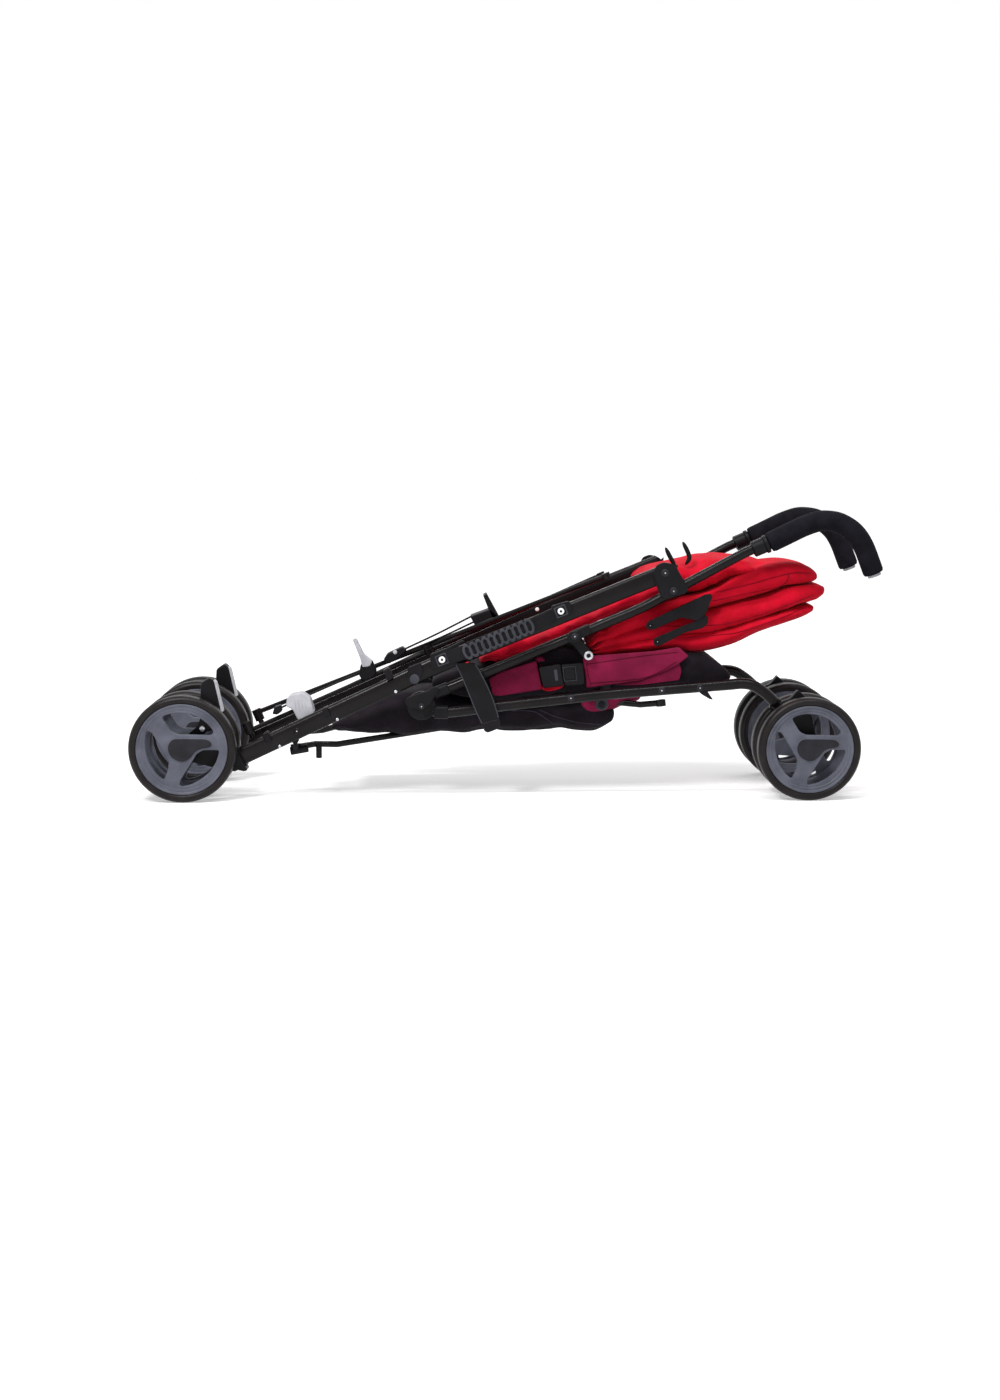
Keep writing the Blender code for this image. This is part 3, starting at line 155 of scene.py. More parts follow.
def two_tone(tree, shader, point, patch_mm, dark, light, detail=3.0, low=0.35, high=0.65):
    """Colour that drifts between two tones in patches of about this size."""
    patch = add_node(tree, "ShaderNodeTexNoise", {"Vector": point}, Scale=1000 / patch_mm, Detail=detail)
    blend = add_node(tree, "ShaderNodeValToRGB", {"Fac": patch.outputs["Fac"]})
    for stop, position, colour in zip(blend.color_ramp.elements, (low, high), (dark, light)):
        stop.position = position
        stop.color = linear(colour)
    tree.links.new(blend.outputs["Color"], shader.inputs["Base Color"])


def relief(tree, shader, point, grain_mm, depth, detail=2.0, strength=1.0, distortion=0.0):
    """Fine unevenness in grains of this size, as a mould, a spray or slack cloth has."""
    settings = {"Scale": 1000 / grain_mm, "Detail": detail, "Distortion": distortion}
    grain = add_node(tree, "ShaderNodeTexNoise", {"Vector": point}, **settings)
    height = {"Height": grain.outputs["Fac"]}
    bump = add_node(tree, "ShaderNodeBump", height, Distance=depth, Strength=strength)
    tree.links.new(bump.outputs["Normal"], shader.inputs["Normal"])
    return bump


def moulded(name, dark, light, roughness, grain_mm=0.7, grain_depth=0.00004):
    """Injection-moulded plastic: a fine spark-eroded grain, uneven gloss and slightly paler patches."""
    made, tree, shader, point = new_material(name, specular=0.12)
    two_tone(tree, shader, point, 28.6, dark, light)
    gloss = add_node(tree, "ShaderNodeTexNoise", {"Vector": point}, Scale=1000 / 16.7, Detail=4.0)
    spread = {"To Min": roughness - 0.06, "To Max": roughness + 0.08}
    uneven = add_node(tree, "ShaderNodeMapRange", {"Value": gloss.outputs["Fac"]}, **spread)
    tree.links.new(uneven.outputs["Result"], shader.inputs["Roughness"])
    relief(tree, shader, point, grain_mm, grain_depth)
    return made


def rubber_material():
    """Foam rubber (EVA): matt black-brown, with moulding pores and paler dust on the tread."""
    made, tree, shader, point = new_material("tyre rubber", 0.36, 0.16)
    two_tone(tree, shader, point, 22.2, "141011", "1F1B1B", 6.0, 0.40, 0.72)
    relief(tree, shader, point, 1.11, 0.00010, 3.0)
    return made


TYRE_RUBBER = rubber_material()
# Glass-filled nylon: blue-grey with a soft sheen. The plastic of the caps is near black and as dull.
HUB_NYLON = moulded("hub nylon", "4B4D57", "5C5E69", 0.42, 0.9, 0.00003)
CAP_PLASTIC = moulded("hub cap plastic", "1E1D21", "2A292E", 0.45)


def mesh_piece(name, bm, material, smooth_angle=40):
    """A new piece from a finished bmesh."""
    mesh = bpy.data.meshes.new(name)
    bm.to_mesh(mesh)
    bm.free()
    piece = bpy.data.objects.new(name, mesh)
    bpy.context.scene.collection.objects.link(piece)
    mesh.materials.append(material)
    mesh.polygons.foreach_set("use_smooth", [True] * len(mesh.polygons))
    if smooth_angle:
        mesh.set_sharp_from_angle(angle=math.radians(smooth_angle))
    return piece


def turned(profile, steps=HUB_STEPS):
    """A closed ring about Y from (radius, y) points."""
    bm = bmesh.new()
    rings = []
    for i in range(steps):
        turn = 2 * math.pi * i / steps
        rings.append([bm.verts.new((r * math.cos(turn), y, r * math.sin(turn))) for r, y in profile])
    count = len(profile)
    for i in range(steps):
        a, b = rings[i], rings[(i + 1) % steps]
        for k in range(count):
            n = (k + 1) % count
            bm.faces.new((a[k], b[k], b[n], a[n]))
    bmesh.ops.recalc_face_normals(bm, faces=bm.faces)
    return bm


def tyre_profile(wheel_r):
    """Round-shouldered tread with a shallow groove near each edge."""
    inner = wheel_r - TYRE_DEPTH
    points = [(inner, TYRE_HALF * 0.80), (inner + 0.002, TYRE_HALF * 0.93)]
    for i in range(9):
        turn = math.radians(6 + 84 * i / 8)
        radius = wheel_r - SHOULDER_DEEP + SHOULDER_DEEP * math.sin(turn)
        points.append((radius, TYRE_HALF - SHOULDER_WIDE + SHOULDER_WIDE * math.cos(turn)))
    groove = wheel_r - GROOVE_DEPTH
    points += [(wheel_r, 0.0045), (groove, 0.0040), (groove, 0.0030), (wheel_r, 0.0025)]
    points += [(r, -y) for r, y in reversed(points)]
    return points


def rounded_loop(corners, radius, steps=4):
    """A closed outline with each corner rounded by up to radius."""
    made = []
    for before, corner, after in zip(corners[-1:] + corners[:-1], corners, corners[1:] + corners[:1]):
        back = corner + (before - corner).normalized() * min(radius, (before - corner).length * 0.42)
        ahead = corner + (after - corner).normalized() * min(radius, (after - corner).length * 0.42)
        for k in range(steps + 1):
            t = k / steps
            made.append(back.lerp(corner, t).lerp(corner.lerp(ahead, t), t))
    return made


def filled(loops, low, high, edge):
    """A flat solid with rounded edges, from low to high along Z; outlines after the first are its holes."""
    curve = bpy.data.curves.new("outline", "CURVE")
    curve.dimensions = "2D"
    curve.fill_mode = "BOTH"
    curve.extrude = (high - low) / 2 - edge
    curve.bevel_depth = edge
    curve.bevel_resolution = 2
    curve.offset = -edge
    for loop in loops:
        line = curve.splines.new("POLY")
        line.points.add(len(loop) - 1)
        for node, point in zip(line.points, loop):
            node.co = (point.x, point.y, 0, 1)
        line.use_cyclic_u = True
    holder = bpy.data.objects.new("outline", curve)
    mesh = bpy.data.meshes.new_from_object(holder)
    bpy.data.objects.remove(holder)
    bpy.data.curves.remove(curve)
    bm = bmesh.new()
    bm.from_mesh(mesh)
    bpy.data.meshes.remove(mesh)
    bmesh.ops.remove_doubles(bm, verts=bm.verts, dist=0.000001)
    bmesh.ops.translate(bm, vec=Vector((0, 0, (low + high) / 2)), verts=bm.verts)
    return bm


def upright(bm):
    """Stand a flat solid up: its face looks along +Y and its outline is seen unmirrored from there."""
    bmesh.ops.transform(
        bm, matrix=Matrix(((1, 0, 0, 0), (0, 0, 1, 0), (0, 1, 0, 0), (0, 0, 0, 1))), verts=bm.verts
    )
    bmesh.ops.recalc_face_normals(bm, faces=bm.faces)
    return bm


def hub_solid(wheel_r):
    """A dished rim, and a face with three windows round the boss."""
    rim_out = wheel_r - TYRE_DEPTH + 0.0004
    half = HUB_HALF
    inner = wheel_r * 0.715
    rim_profile = [
        (inner, half * 0.20),
        (inner + 0.0005, half * 0.80),
        (inner + 0.0030, half * 0.93),
        (rim_out - 0.0040, half * 0.90),
        (rim_out - 0.0026, half * 0.99),
        (rim_out - 0.0008, half),
        (rim_out, half * 0.93),
        (rim_out, -half * 0.90),
        (rim_out - 0.0015, -half),
        (inner + 0.0060, -half * 0.90),
        (inner + 0.0010, -half * 0.40),
    ]
    bm = turned(rim_profile)
    turns = [2 * math.pi * i / HUB_STEPS for i in range(HUB_STEPS)]
    disc = [Vector((math.cos(turn), math.sin(turn))) * (inner + 0.0024) for turn in turns]
    windows = [rounded_loop([Vector(c) * wheel_r for c in loop], 0.0035) for loop in WINDOWS]
    face = upright(filled([disc, *windows], half * 0.28, half * 0.86, 0.0011))
    boss = turned([(0.0004, half * 0.5), (0.0110, half * 0.5), (0.0125, -half), (0.0004, -half)], 48)
    for part in (face, boss):
        mesh = bpy.data.meshes.new("part")
        part.to_mesh(mesh)
        part.free()
        bm.from_mesh(mesh)
        bpy.data.meshes.remove(mesh)
    return bm


def cap_solid(wheel_r, grow, low, high):
    """The dark teardrop inset of the hub, or its raised surround."""
    centre = Vector((0.05, 0.0)) * wheel_r
    loop = [Vector(c) * wheel_r for c in CAP]
    loop = [p + (p - centre).normalized() * grow for p in loop]
    return upright(filled([rounded_loop(loop, 0.006)], HUB_HALF * low, HUB_HALF * high, 0.0006))


for side_name, side in SIDES:
    for end in ENDS:
        wheel_r = WHEEL_R[end]
        for row in ("outer", "inner"):
            outer = row == "outer"
            nodes = [end + "_outer_tyre_" + side_name, end + "_outer_hub_" + side_name]
            if not outer:
                nodes = [end + "_inner_wheel_" + side_name]
            low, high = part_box(nodes[0])
            centre = (low + high) / 2
            centre.z = wheel_r
            face = side if outer else -side
            body = end + "_" + row + "_wheel_" + side_name
            turn = 0 if outer or end == "rear" else math.radians(FRONT_INNER_TURN)
            place = Matrix.Translation(centre) @ Matrix.Rotation(turn, 4, "Y") @ Matrix.Diagonal(
                (1, face, 1, 1)
            )
            for part, bm, material, smooth in (
                ("tyre", turned(tyre_profile(wheel_r)), TYRE_RUBBER, 50),
                ("hub", hub_solid(wheel_r), HUB_NYLON, 40),
                ("cap_rim", cap_solid(wheel_r, 0.0013, 0.70, 0.93), HUB_NYLON, 40),
                ("cap", cap_solid(wheel_r, 0.0, 0.72, 0.99), CAP_PLASTIC, 40),
            ):
                bmesh.ops.transform(bm, matrix=place, verts=bm.verts)
                if face < 0:
                    bmesh.ops.reverse_faces(bm, faces=bm.faces)
                piece = mesh_piece(body + "_" + part, bm, material, smooth)
                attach(piece, body)
            if outer:
                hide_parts(nodes[0])
                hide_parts(nodes[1])
            else:
                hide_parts(nodes[0])

# Axles: four short steel bars, cut and turned, then plated bright with zinc. Each runs through both hubs of
# a pair, so only its ends show between them.
AXLE_EDGE = 0.0006


def bevelled(piece, width, segments=2, angle=30):
    """Rounded edges, as a mould gives them."""
    edge = piece.modifiers.new("rounded edges", "BEVEL")
    edge.width = width
    edge.segments = segments
    edge.limit_method = "ANGLE"
    edge.angle_limit = math.radians(angle)
    edge.use_clamp_overlap = True
    return piece


def rounded_from(node, material, width, angle=30):
    """The frame's own solid of a part with its edges rounded; it stands in for the plain solid."""
    source = frame["nodes"][node]
    bm = bmesh.new()
    bm.from_mesh(source.data)
    bmesh.ops.remove_doubles(bm, verts=bm.verts, dist=0.00002)
    bmesh.ops.dissolve_limit(bm, angle_limit=math.radians(2), verts=bm.verts, edges=bm.edges)
    piece = bevelled(mesh_piece(node + "_moulding", bm, material, 35), width, angle=angle)
    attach(piece, source["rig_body"])
    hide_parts(node)


def steel_material():
    """Zinc-plated steel: bright, with fine turning marks round the bar."""
    made, tree, shader, point = new_material("zinc-plated steel")
    two_tone(tree, shader, point, 12.5, "A8A9AE", "C9CACF")
    shader.inputs["Metallic"].default_value = 1.0
    marks = add_node(tree, "ShaderNodeTexNoise", {"Vector": point}, Scale=1000 / 1.43, Detail=2.0)
    spread = {"To Min": 0.22, "To Max": 0.42}
    rough = add_node(tree, "ShaderNodeMapRange", {"Value": marks.outputs["Fac"]}, **spread)
    tree.links.new(rough.outputs["Result"], shader.inputs["Roughness"])
    return made


ZINC_STEEL = steel_material()
for side_name, side in SIDES:
    for end in ENDS:
        rounded_from(end + "_axle_" + side_name, ZINC_STEEL, AXLE_EDGE, 60)

# Frame tubes: aluminium, drawn, bent and powder-coated satin black; the rear legs are flat ovals, the rest
# round. Their routes are (x, z) in millimetres on each tube's own plane across the chair. The four braces
# between them keep the shape of their own solids.
REAR_LEG_Y = 0.100
ROUND_TUBE_Y = 0.096
REAR_LEG_ROUTE = (
    (-373, 62), (-300, 96), (-234, 127), (-160, 161.5), (-94, 192), (-20, 222), (63, 255), (150, 290),
    (220, 318), (229, 322),
)
HANDLE_ROUTE = (
    (-103, 149), (34, 205), (150, 252.5), (176, 263.5), (200, 275), (256, 305.4), (323, 341.3), (341, 350),
    (363, 359.6),
)
FRONT_LEG_ROUTE = (
    (-107, 124.6), (-88, 121.5), (-11, 130.4), (130, 145.6), (220, 153), (306, 159.5), (329, 161.5),
    (345, 159), (358, 151.5), (369, 142.5), (384, 127),
)


def coated_material():
    """Powder coat: satin black with faint orange peel."""
    made, tree, shader, point = new_material("black powder coat", 0.24, 0.15)
    two_tone(tree, shader, point, 41.7, "0B0809", "120E10")
    relief(tree, shader, point, 1.92, 0.00006)
    return made


BLACK_COAT = coated_material()
# The mouldings of the frame: black nylon, dull and slightly warm; pale grey nylon, mostly where a foot
# presses; and soft dark grey rubber for what a hand takes and for trims.
BLACK_NYLON = moulded("black nylon", "0A090B", "121014", 0.42)
GREY_NYLON = moulded("light grey nylon", "A2A2A8", "B6B6BB", 0.45)
DARK_GREY = moulded("dark grey rubber", "313238", "3E3F45", 0.5)


def spline(points, steps=6):
    """Points on a smooth line (Catmull-Rom) through the given ones."""
    points = [Vector(p) for p in points]
    ends = [points[0] * 2 - points[1], *points, points[-1] * 2 - points[-2]]
    made = []
    for a, b, c, d in zip(ends, ends[1:], ends[2:], ends[3:]):
        for i in range(steps):
            t = i / steps
            line = 2 * b + (c - a) * t
            bend = line + (2 * a - 5 * b + 4 * c - d) * t**2 + (3 * b - a - 3 * c + d) * t**3
            made.append(0.5 * bend)
    made.append(points[-1])
    return made


def at_plane(route, y):
    """Side-view millimetres as points on a plane across the chair."""
    return [Vector((x / 1000, y, z / 1000)) for x, z in route]


def run_along(points):
    """The distance of each point from the first, along the line."""
    run = [0.0]
    for a, b in zip(points, points[1:]):
        run.append(run[-1] + (b - a).length)
    return run


def oval(turn, power):
    """A point of a unit oval, squarer with a higher power."""
    c, s = math.cos(turn), math.sin(turn)
    return math.copysign(abs(c) ** (2 / power), c), math.copysign(abs(s) ** (2 / power), s)


def skin(bm, rings):
    """Close rings of points into a solid with flat ends."""
    for a, b in zip(rings, rings[1:]):
        for k in range(len(a)):
            n = (k + 1) % len(a)
            bm.faces.new((a[k], a[n], b[n], b[k]))
    bm.faces.new(rings[0][::-1])
    bm.faces.new(rings[-1])
    bmesh.ops.recalc_face_normals(bm, faces=bm.faces)
    return bm


def sweep(points, wide, deep=None, sides=8, power=2.0, nose=0.0):
    """A bar along points: wide across the chair and deep in the side view, its section an oval or squarer.
    nose rounds off both ends over that length."""
    deep = deep or wide
    bm = bmesh.new()
    rings = []
    run = run_along(points)
    for i, p in enumerate(points):
        ahead = points[min(i + 1, len(points) - 1)] - points[max(i - 1, 0)]
        ahead.normalize()
        across = Vector((0, 1, 0)) if abs(ahead.y) < 0.9 else Vector((1, 0, 0))
        across = (across - ahead * across.dot(ahead)).normalized()
        up = across.cross(ahead)
        share = 1.0
        if nose:
            near_end = min(run[i], run[-1] - run[i]) / nose
            share = math.sqrt(max(0.02, 1 - max(0.0, 1 - near_end) ** 2))
        ring = []
        for k in range(sides):
            u, v = oval(2 * math.pi * (k + 0.5) / sides, power)
            ring.append(bm.verts.new(p + across * (u * wide / 2 * share) + up * (v * deep / 2 * share)))
        rings.append(ring)
    return skin(bm, rings)


def bar(
    name, points, wide, body, deep=None, sides=8, power=2.0, nose=0.0, edge=0.0, material=BLACK_NYLON,
    smooth=40,
):
    """A swept bar that rides on a body; edge rounds the rims of its cut ends."""
    piece = mesh_piece(name, sweep(points, wide, deep, sides, power, nose), material, smooth)
    if edge:
        bevelled(piece, edge)
    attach(piece, body)
    return piece


for side_name, side in SIDES:
    for node, body, route, y, wide, deep, power in (
        ("rear_leg_", "rear_leg_", REAR_LEG_ROUTE, REAR_LEG_Y, 0.016, 0.025, 3.2),
        ("handle_tube_", "handle_", HANDLE_ROUTE, ROUND_TUBE_Y, 0.014, 0.014, 2.0),
        ("front_leg_", "front_leg_", FRONT_LEG_ROUTE, ROUND_TUBE_Y, 0.0155, 0.0155, 2.0),
    ):
        line = spline(at_plane(route, side * y))
        name = node + side_name + "_tube"
        tube = bar(name, line, wide, body + side_name, deep, 28, power, material=BLACK_COAT, smooth=50)
        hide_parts(node + side_name)
    for node in ("lower_brace_", "back_brace_"):
        rounded_from(node + side_name, BLACK_COAT, 0.0006, 50)

# Screws and rivets of the frame: domed screw heads with a sunk socket, dark or coated, and plain pressed
# rivets. They hold the legs and their inner sleeves. Their profiles are (radius, height) in millimetres.
WHITE_NYLON = moulded("white nylon", "E4E4E2", "F2F2F0", 0.4)  # clean and pale, for washers


def turned_piece(name, profile, place, y, face, body, steps=28, material=BLACK_NYLON):
    """A turned part about Y from (radius, height) pairs in millimetres; height grows from y towards face."""
    bm = bmesh.new()
    rings = []
    for i in range(steps):
        c, s = math.cos(2 * math.pi * i / steps), math.sin(2 * math.pi * i / steps)
        rings.append([bm.verts.new((r / 1000 * c, h / 1000 * face, r / 1000 * s)) for r, h in profile])
    for i in range(steps):
        a, b = rings[i], rings[(i + 1) % steps]
        for k in range(len(profile) - 1):
            bm.faces.new((a[k], a[k + 1], b[k + 1], b[k]))
    bmesh.ops.remove_doubles(bm, verts=bm.verts, dist=0.000001)
    bmesh.ops.holes_fill(bm, edges=bm.edges, sides=0)
    bmesh.ops.recalc_face_normals(bm, faces=bm.faces)
    bmesh.ops.translate(bm, vec=Vector((place[0] / 1000, y, place[1] / 1000)), verts=bm.verts)
    piece = mesh_piece(name, bm, material, 30)
    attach(piece, body)
    return piece


def socket_screw(name, place, y, face, r, body, material=BLACK_COAT, washer=0.0):
    """A domed head with a sunk socket, and in it a small bright zinc disc that is a painted glint; or a white
    washer under it.
    """
    dome = [(0.0, 0.7), (r * 0.40, 0.7), (r * 0.46, 1.7), (r * 0.75, 1.55), (r * 0.97, 0.7), (r, 0.0)]
    turned_piece(name, dome, place, y, face, body, material=material)
    if washer:
        ring = [(r * 0.9, 0.0), (r * 0.9, 1.0), (washer * 0.93, 1.0), (washer, 0.5), (washer, 0.0)]
        turned_piece(name + "_washer", ring, place, y, face, body, material=WHITE_NYLON)
    else:
        # painted glint: a small bright zinc disc sunk in the socket stands for the head's highlight
        painted_glint = [(0.0, 1.1), (r * 0.20, 1.0), (r * 0.24, 0.7)]
        turned_piece(name + "_painted_glint", painted_glint, place, y, face, body, 12, ZINC_STEEL)


def rivet(name, place, y, face, r, body, material):
    """A low domed rivet head."""
    dome = [(0.0, 1.4), (r * 0.5, 1.25), (r * 0.85, 0.8), (r, 0.0)]
    turned_piece(name, dome, place, y, face, body, 20, material)


for side_name, side in SIDES:
    rear, front = "rear_leg_" + side_name, "front_leg_" + side_name
    socket_screw("leg_screw_" + side_name, (-297, 97), side * 0.1078, side, 4.6, rear)
    for i, place in enumerate(((-321, 75.5), (-240, 113.5), (-158, 152.5))):
        rivet("leg_rivet_%d_%s" % (i, side_name), place, side * 0.1076, side, 2.4, rear, ZINC_STEEL)
    for i, place in enumerate(((88, 142), (216, 152.5), (270, 156))):
        socket_screw(
            "front_screw_%d_%s" % (i, side_name), place, side * 0.1030, side, 4.8, front, CAP_PLASTIC
        )
rivet("leg_inner_rivet", (48, 253), 0.0920, -1, 3.0, "rear_leg_far", WHITE_NYLON)

# Front hooks: a small black nylon nose under each front leg. It is moulded in one with the clip that holds it
# on the tube.
HOOK_OUTLINE = ((268, 152), (281, 151), (289, 139), (284, 140), (272, 147))


def side_plate(name, body, outline, y0, y1, edge, corner=2.5, material=BLACK_NYLON, smooth=30):
    """A moulded plate from y0 to y1, its side-view outline in millimetres, with rounded edges and corners."""
    corners = rounded_loop([Vector((x / 1000, z / 1000)) for x, z in outline], corner / 1000)
    bm = bmesh.new()
    low = [bm.verts.new((c.x, min(y0, y1), c.y)) for c in corners]
    high = [bm.verts.new((c.x, max(y0, y1), c.y)) for c in corners]
    piece = mesh_piece(name, skin(bm, (low, high)), material, smooth)
    bevelled(piece, edge, 3, 40)
    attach(piece, body)
    return piece


for side_name, side in SIDES:
    name, body = "front_hook_" + side_name, "front_leg_" + side_name
    side_plate(name, body, HOOK_OUTLINE, side * 0.0900, side * 0.1010, 0.001, 1.5)

# Top brackets: black nylon shields, moulded, that join each handle tube to its rear leg. Two screws hold
# each through a saddle behind it, and a raised rim follows its edge.
BRACKET_OUTLINE = (
    (202, 321), (207, 330), (216, 333.5), (226, 332), (234, 327), (251, 297), (248, 290), (220, 281),
    (212, 286), (202, 312),
)
SADDLE_OUTLINE = ((222, 283), (247, 296), (238, 313), (213, 300))
RIM_CENTRE = Vector((226, 308))
RIM_INSET = 0.10
for side_name, side in SIDES:
    body = "handle_" + side_name
    shield = side_plate(
        "bracket_shield_" + side_name, body, BRACKET_OUTLINE, side * 0.1083, side * 0.1128, 0.0011
    )
    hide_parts("pivot_bracket_" + side_name)
    side_plate("bracket_saddle_" + side_name, body, SADDLE_OUTLINE, side * 0.0902, side * 0.1085, 0.001)
    for name, place in (("high_", (218.5, 318.5)), ("low_", (230.5, 293))):
        socket_screw("bracket_screw_" + name + side_name, place, side * 0.1126, side, 5.4, body, CAP_PLASTIC)
    rim = at_plane([Vector(p).lerp(RIM_CENTRE, RIM_INSET) for p in BRACKET_OUTLINE], side * 0.1127)
    bar("bracket_rim_" + side_name, spline([*rim, rim[0]], 4), 0.0011, body)

# Side hinges: a black nylon teardrop cheek over a ribbed disc, both moulded, at the foot of each handle tube.
# The cheek turns with the handle, the disc stays on the front leg, and a sleeve on each holds its tube.
HINGE_OUTLINE = (
    (-145, 136), (-143, 143), (-135, 147.5), (-113, 153.5), (-106, 159.5), (-99, 159), (-97, 153),
    (-104, 145), (-110, 133), (-121, 127.5), (-139, 129.5),
)
HINGE_CENTRE = (-122, 131.5)
HINGE_DISC = ((0.0, 0), (19.2, 0.0), (20.0, -0.8), (20.0, -14.0), (19.2, -14.8), (0.0, -14.8))
for side_name, side in SIDES:
    body, leg = "handle_" + side_name, "front_leg_" + side_name
    cheek = side_plate(
        "hinge_cheek_" + side_name, body, HINGE_OUTLINE, side * 0.1048, side * 0.1090, 0.0012, 7.0
    )
    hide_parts("side_hinge_" + side_name)
    socket_screw("hinge_screw_" + side_name, HINGE_CENTRE, side * 0.1088, side, 4.4, body, CAP_PLASTIC)
    sleeve = at_plane(((-104, 148.6), (-84, 156.8)), side * ROUND_TUBE_Y)
    bar("hinge_sleeve_" + side_name, sleeve, 0.0182, body, 0.0172, 24, 3.0, edge=0.0008)
    turned_piece("hinge_disc_" + side_name, HINGE_DISC, HINGE_CENTRE, side * 0.1036, side, leg, 48)
    for i in range(6):
        rib = []
        for r in (12.5, 15.5, 18.2, 20.6):
            turn = math.radians(-74 + 13 * i) + (r - 13) / 60
            rib.append((HINGE_CENTRE[0] + r * math.cos(turn), HINGE_CENTRE[1] + r * math.sin(turn)))
        bar("hinge_rib_%d_%s" % (i, side_name), at_plane(rib, side * 0.1035), 0.0022, leg, 0.0016)
    collar = at_plane(((-104, 122.5), (-85, 122)), side * ROUND_TUBE_Y)
    bar("hinge_collar_" + side_name, collar, 0.0178, leg, 0.0190, 24, 3.4, edge=0.0008)

# Rear housings, front forks and lower tabs: black nylon mouldings with rounded edges, which carry the axles
# and the ends of the braces. Each fork has a peaked guard with a painted highlight, a dark grey line along
# its peak, and a coated barrel over its pin.
FORK_OUTLINE = (
    (384, 136), (398, 141), (408.5, 153), (423, 140), (436, 84), (430, 62), (412, 60), (402, 80), (390, 104),
    (377, 122),
)
for side_name, side in SIDES:
    for node, width in (("rear_housing_", 0.0022), ("lower_tab_", 0.0008)):
        rounded_from(node + side_name, BLACK_NYLON, width)
    body = "fork_" + side_name
    fork = side_plate("fork_arm_" + side_name, body, FORK_OUTLINE, side * 0.0885, side * 0.1035, 0.0018, 3.0)
    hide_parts("front_fork_" + side_name)
    barrel = at_plane(((372, 138.5), (376, 134.2), (399, 110)), side * ROUND_TUBE_Y)
    bar(
        "fork_barrel_" + side_name, barrel, 0.0200, body, sides=28, nose=0.003, material=BLACK_COAT,
        smooth=50,
    )
    # painted highlight: a dark grey line along the peak of the fork's guard
    crest = spline(at_plane(((400, 142.5), (408.6, 152.4), (422, 141)), side * 0.1036), 1)
    bar("fork_crest_" + side_name, crest, 0.0010, body, material=DARK_GREY)

# Buttons: the fold lock's push button and the seat's knob, both moulded in dark grey rubber with soft edges.
for node, width in (("lock_button", 0.0010), ("seat_knob", 0.0014)):
    rounded_from(node, DARK_GREY, width)

# Fold pedal: a light grey nylon foot block, moulded, with five grip ribs on its outer face.
# It turns on the rear end of the near lower brace.
PEDAL_OUTLINE = (
    (-307, 146), (-290, 149), (-279, 141), (-273.5, 120), (-296.5, 109.5), (-303.5, 125), (-313.5, 130),
    (-312, 141),
)
PEDAL_FACE = -0.0895
pedal = side_plate(
    "fold_pedal_block", "fold_pedal", PEDAL_OUTLINE, PEDAL_FACE, -0.060, 0.0015, 3.0, GREY_NYLON
)
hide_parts("fold_pedal")
for i in range(5):
    high = Vector((-0.3015 + 0.0048 * i, PEDAL_FACE, 0.1435 - 0.0009 * i * i))
    low = Vector((-0.2990 + 0.0050 * i, PEDAL_FACE, 0.1190 + 0.0022 * i))
    rib = [high, high.lerp(low, 0.5), low]
    bar("fold_pedal_rib_%d" % i, rib, 0.0016, "fold_pedal", 0.0013, nose=0.001, material=GREY_NYLON)

# Release pedals: a thin light grey blade on a black stem, and a black sleeve with an upright toe plate.
# All are nylon mouldings that turn on the near back brace.
BLADE_OUTLINE = (
    (-221.5, 220), (-216, 221), (-205.5, 199), (-193, 188.5), (-197, 181), (-207.5, 179.5), (-211, 193.5)
)
STEM_OUTLINE = ((-210, 184), (-194, 190), (-187, 174), (-192, 165), (-207, 160), (-213, 168))
SLEEVE_OUTLINE = ((-53, 250), (-23, 261), (-12, 250.5), (-44.5, 234.5))
TOE_OUTLINE = ((-34, 280), (-29, 283), (-10.5, 249), (-20, 244))
blade = side_plate(
    "release_blade", "release_pedal", BLADE_OUTLINE, -0.0365, -0.0235, 0.0012, material=GREY_NYLON
)
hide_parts("release_pedal")
side_plate("release_stem", "release_pedal", STEM_OUTLINE, -0.0350, -0.0190, 0.0014, 3.0)
sleeve = side_plate("release_sleeve", "release_foot", SLEEVE_OUTLINE, -0.005, 0.035, 0.002, 3.0)
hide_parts("release_foot")
side_plate("release_toe", "release_foot", TOE_OUTLINE, -0.005, 0.035, 0.0012, 1.5)

# Brake pedals: black nylon blocks between the rear wheels, with a pale kick strip clipped on the edge.
# A zinc bolt carries each on the housing, whose raised flange stands beside it.
BRAKE_OUTLINE = (
    (-430, 165), (-418, 173), (-412, 168), (-403, 127), (-415, 98), (-431, 95), (-437, 103), (-429, 122),
    (-431, 149),
)
STRIP_OUTLINE = ((-413, 169), (-409.5, 166), (-400, 124), (-404.5, 125))
FLANGE_OUTLINE = ((-387, 72), (-382, 73), (-366, 43), (-371, 41), (-391, 46))
for side_name, side in SIDES:
    body = "brake_pedal_" + side_name
    block = side_plate(
        "brake_block_" + side_name, body, BRAKE_OUTLINE, side * 0.0850, side * 0.1085, 0.0020, 3.0
    )
    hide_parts(body)
    side_plate(
        "brake_strip_" + side_name, body, STRIP_OUTLINE, side * 0.0870, side * 0.1065, 0.0010, 1.2,
        GREY_NYLON,
    )
    socket_screw("brake_bolt_" + side_name, (-429, 101), side * 0.1083, side, 4.4, body, ZINC_STEEL)
    name, body = "housing_flange_" + side_name, "rear_leg_" + side_name
    side_plate(name, body, FLANGE_OUTLINE, side * 0.0850, side * 0.1150, 0.0012, 2.0)

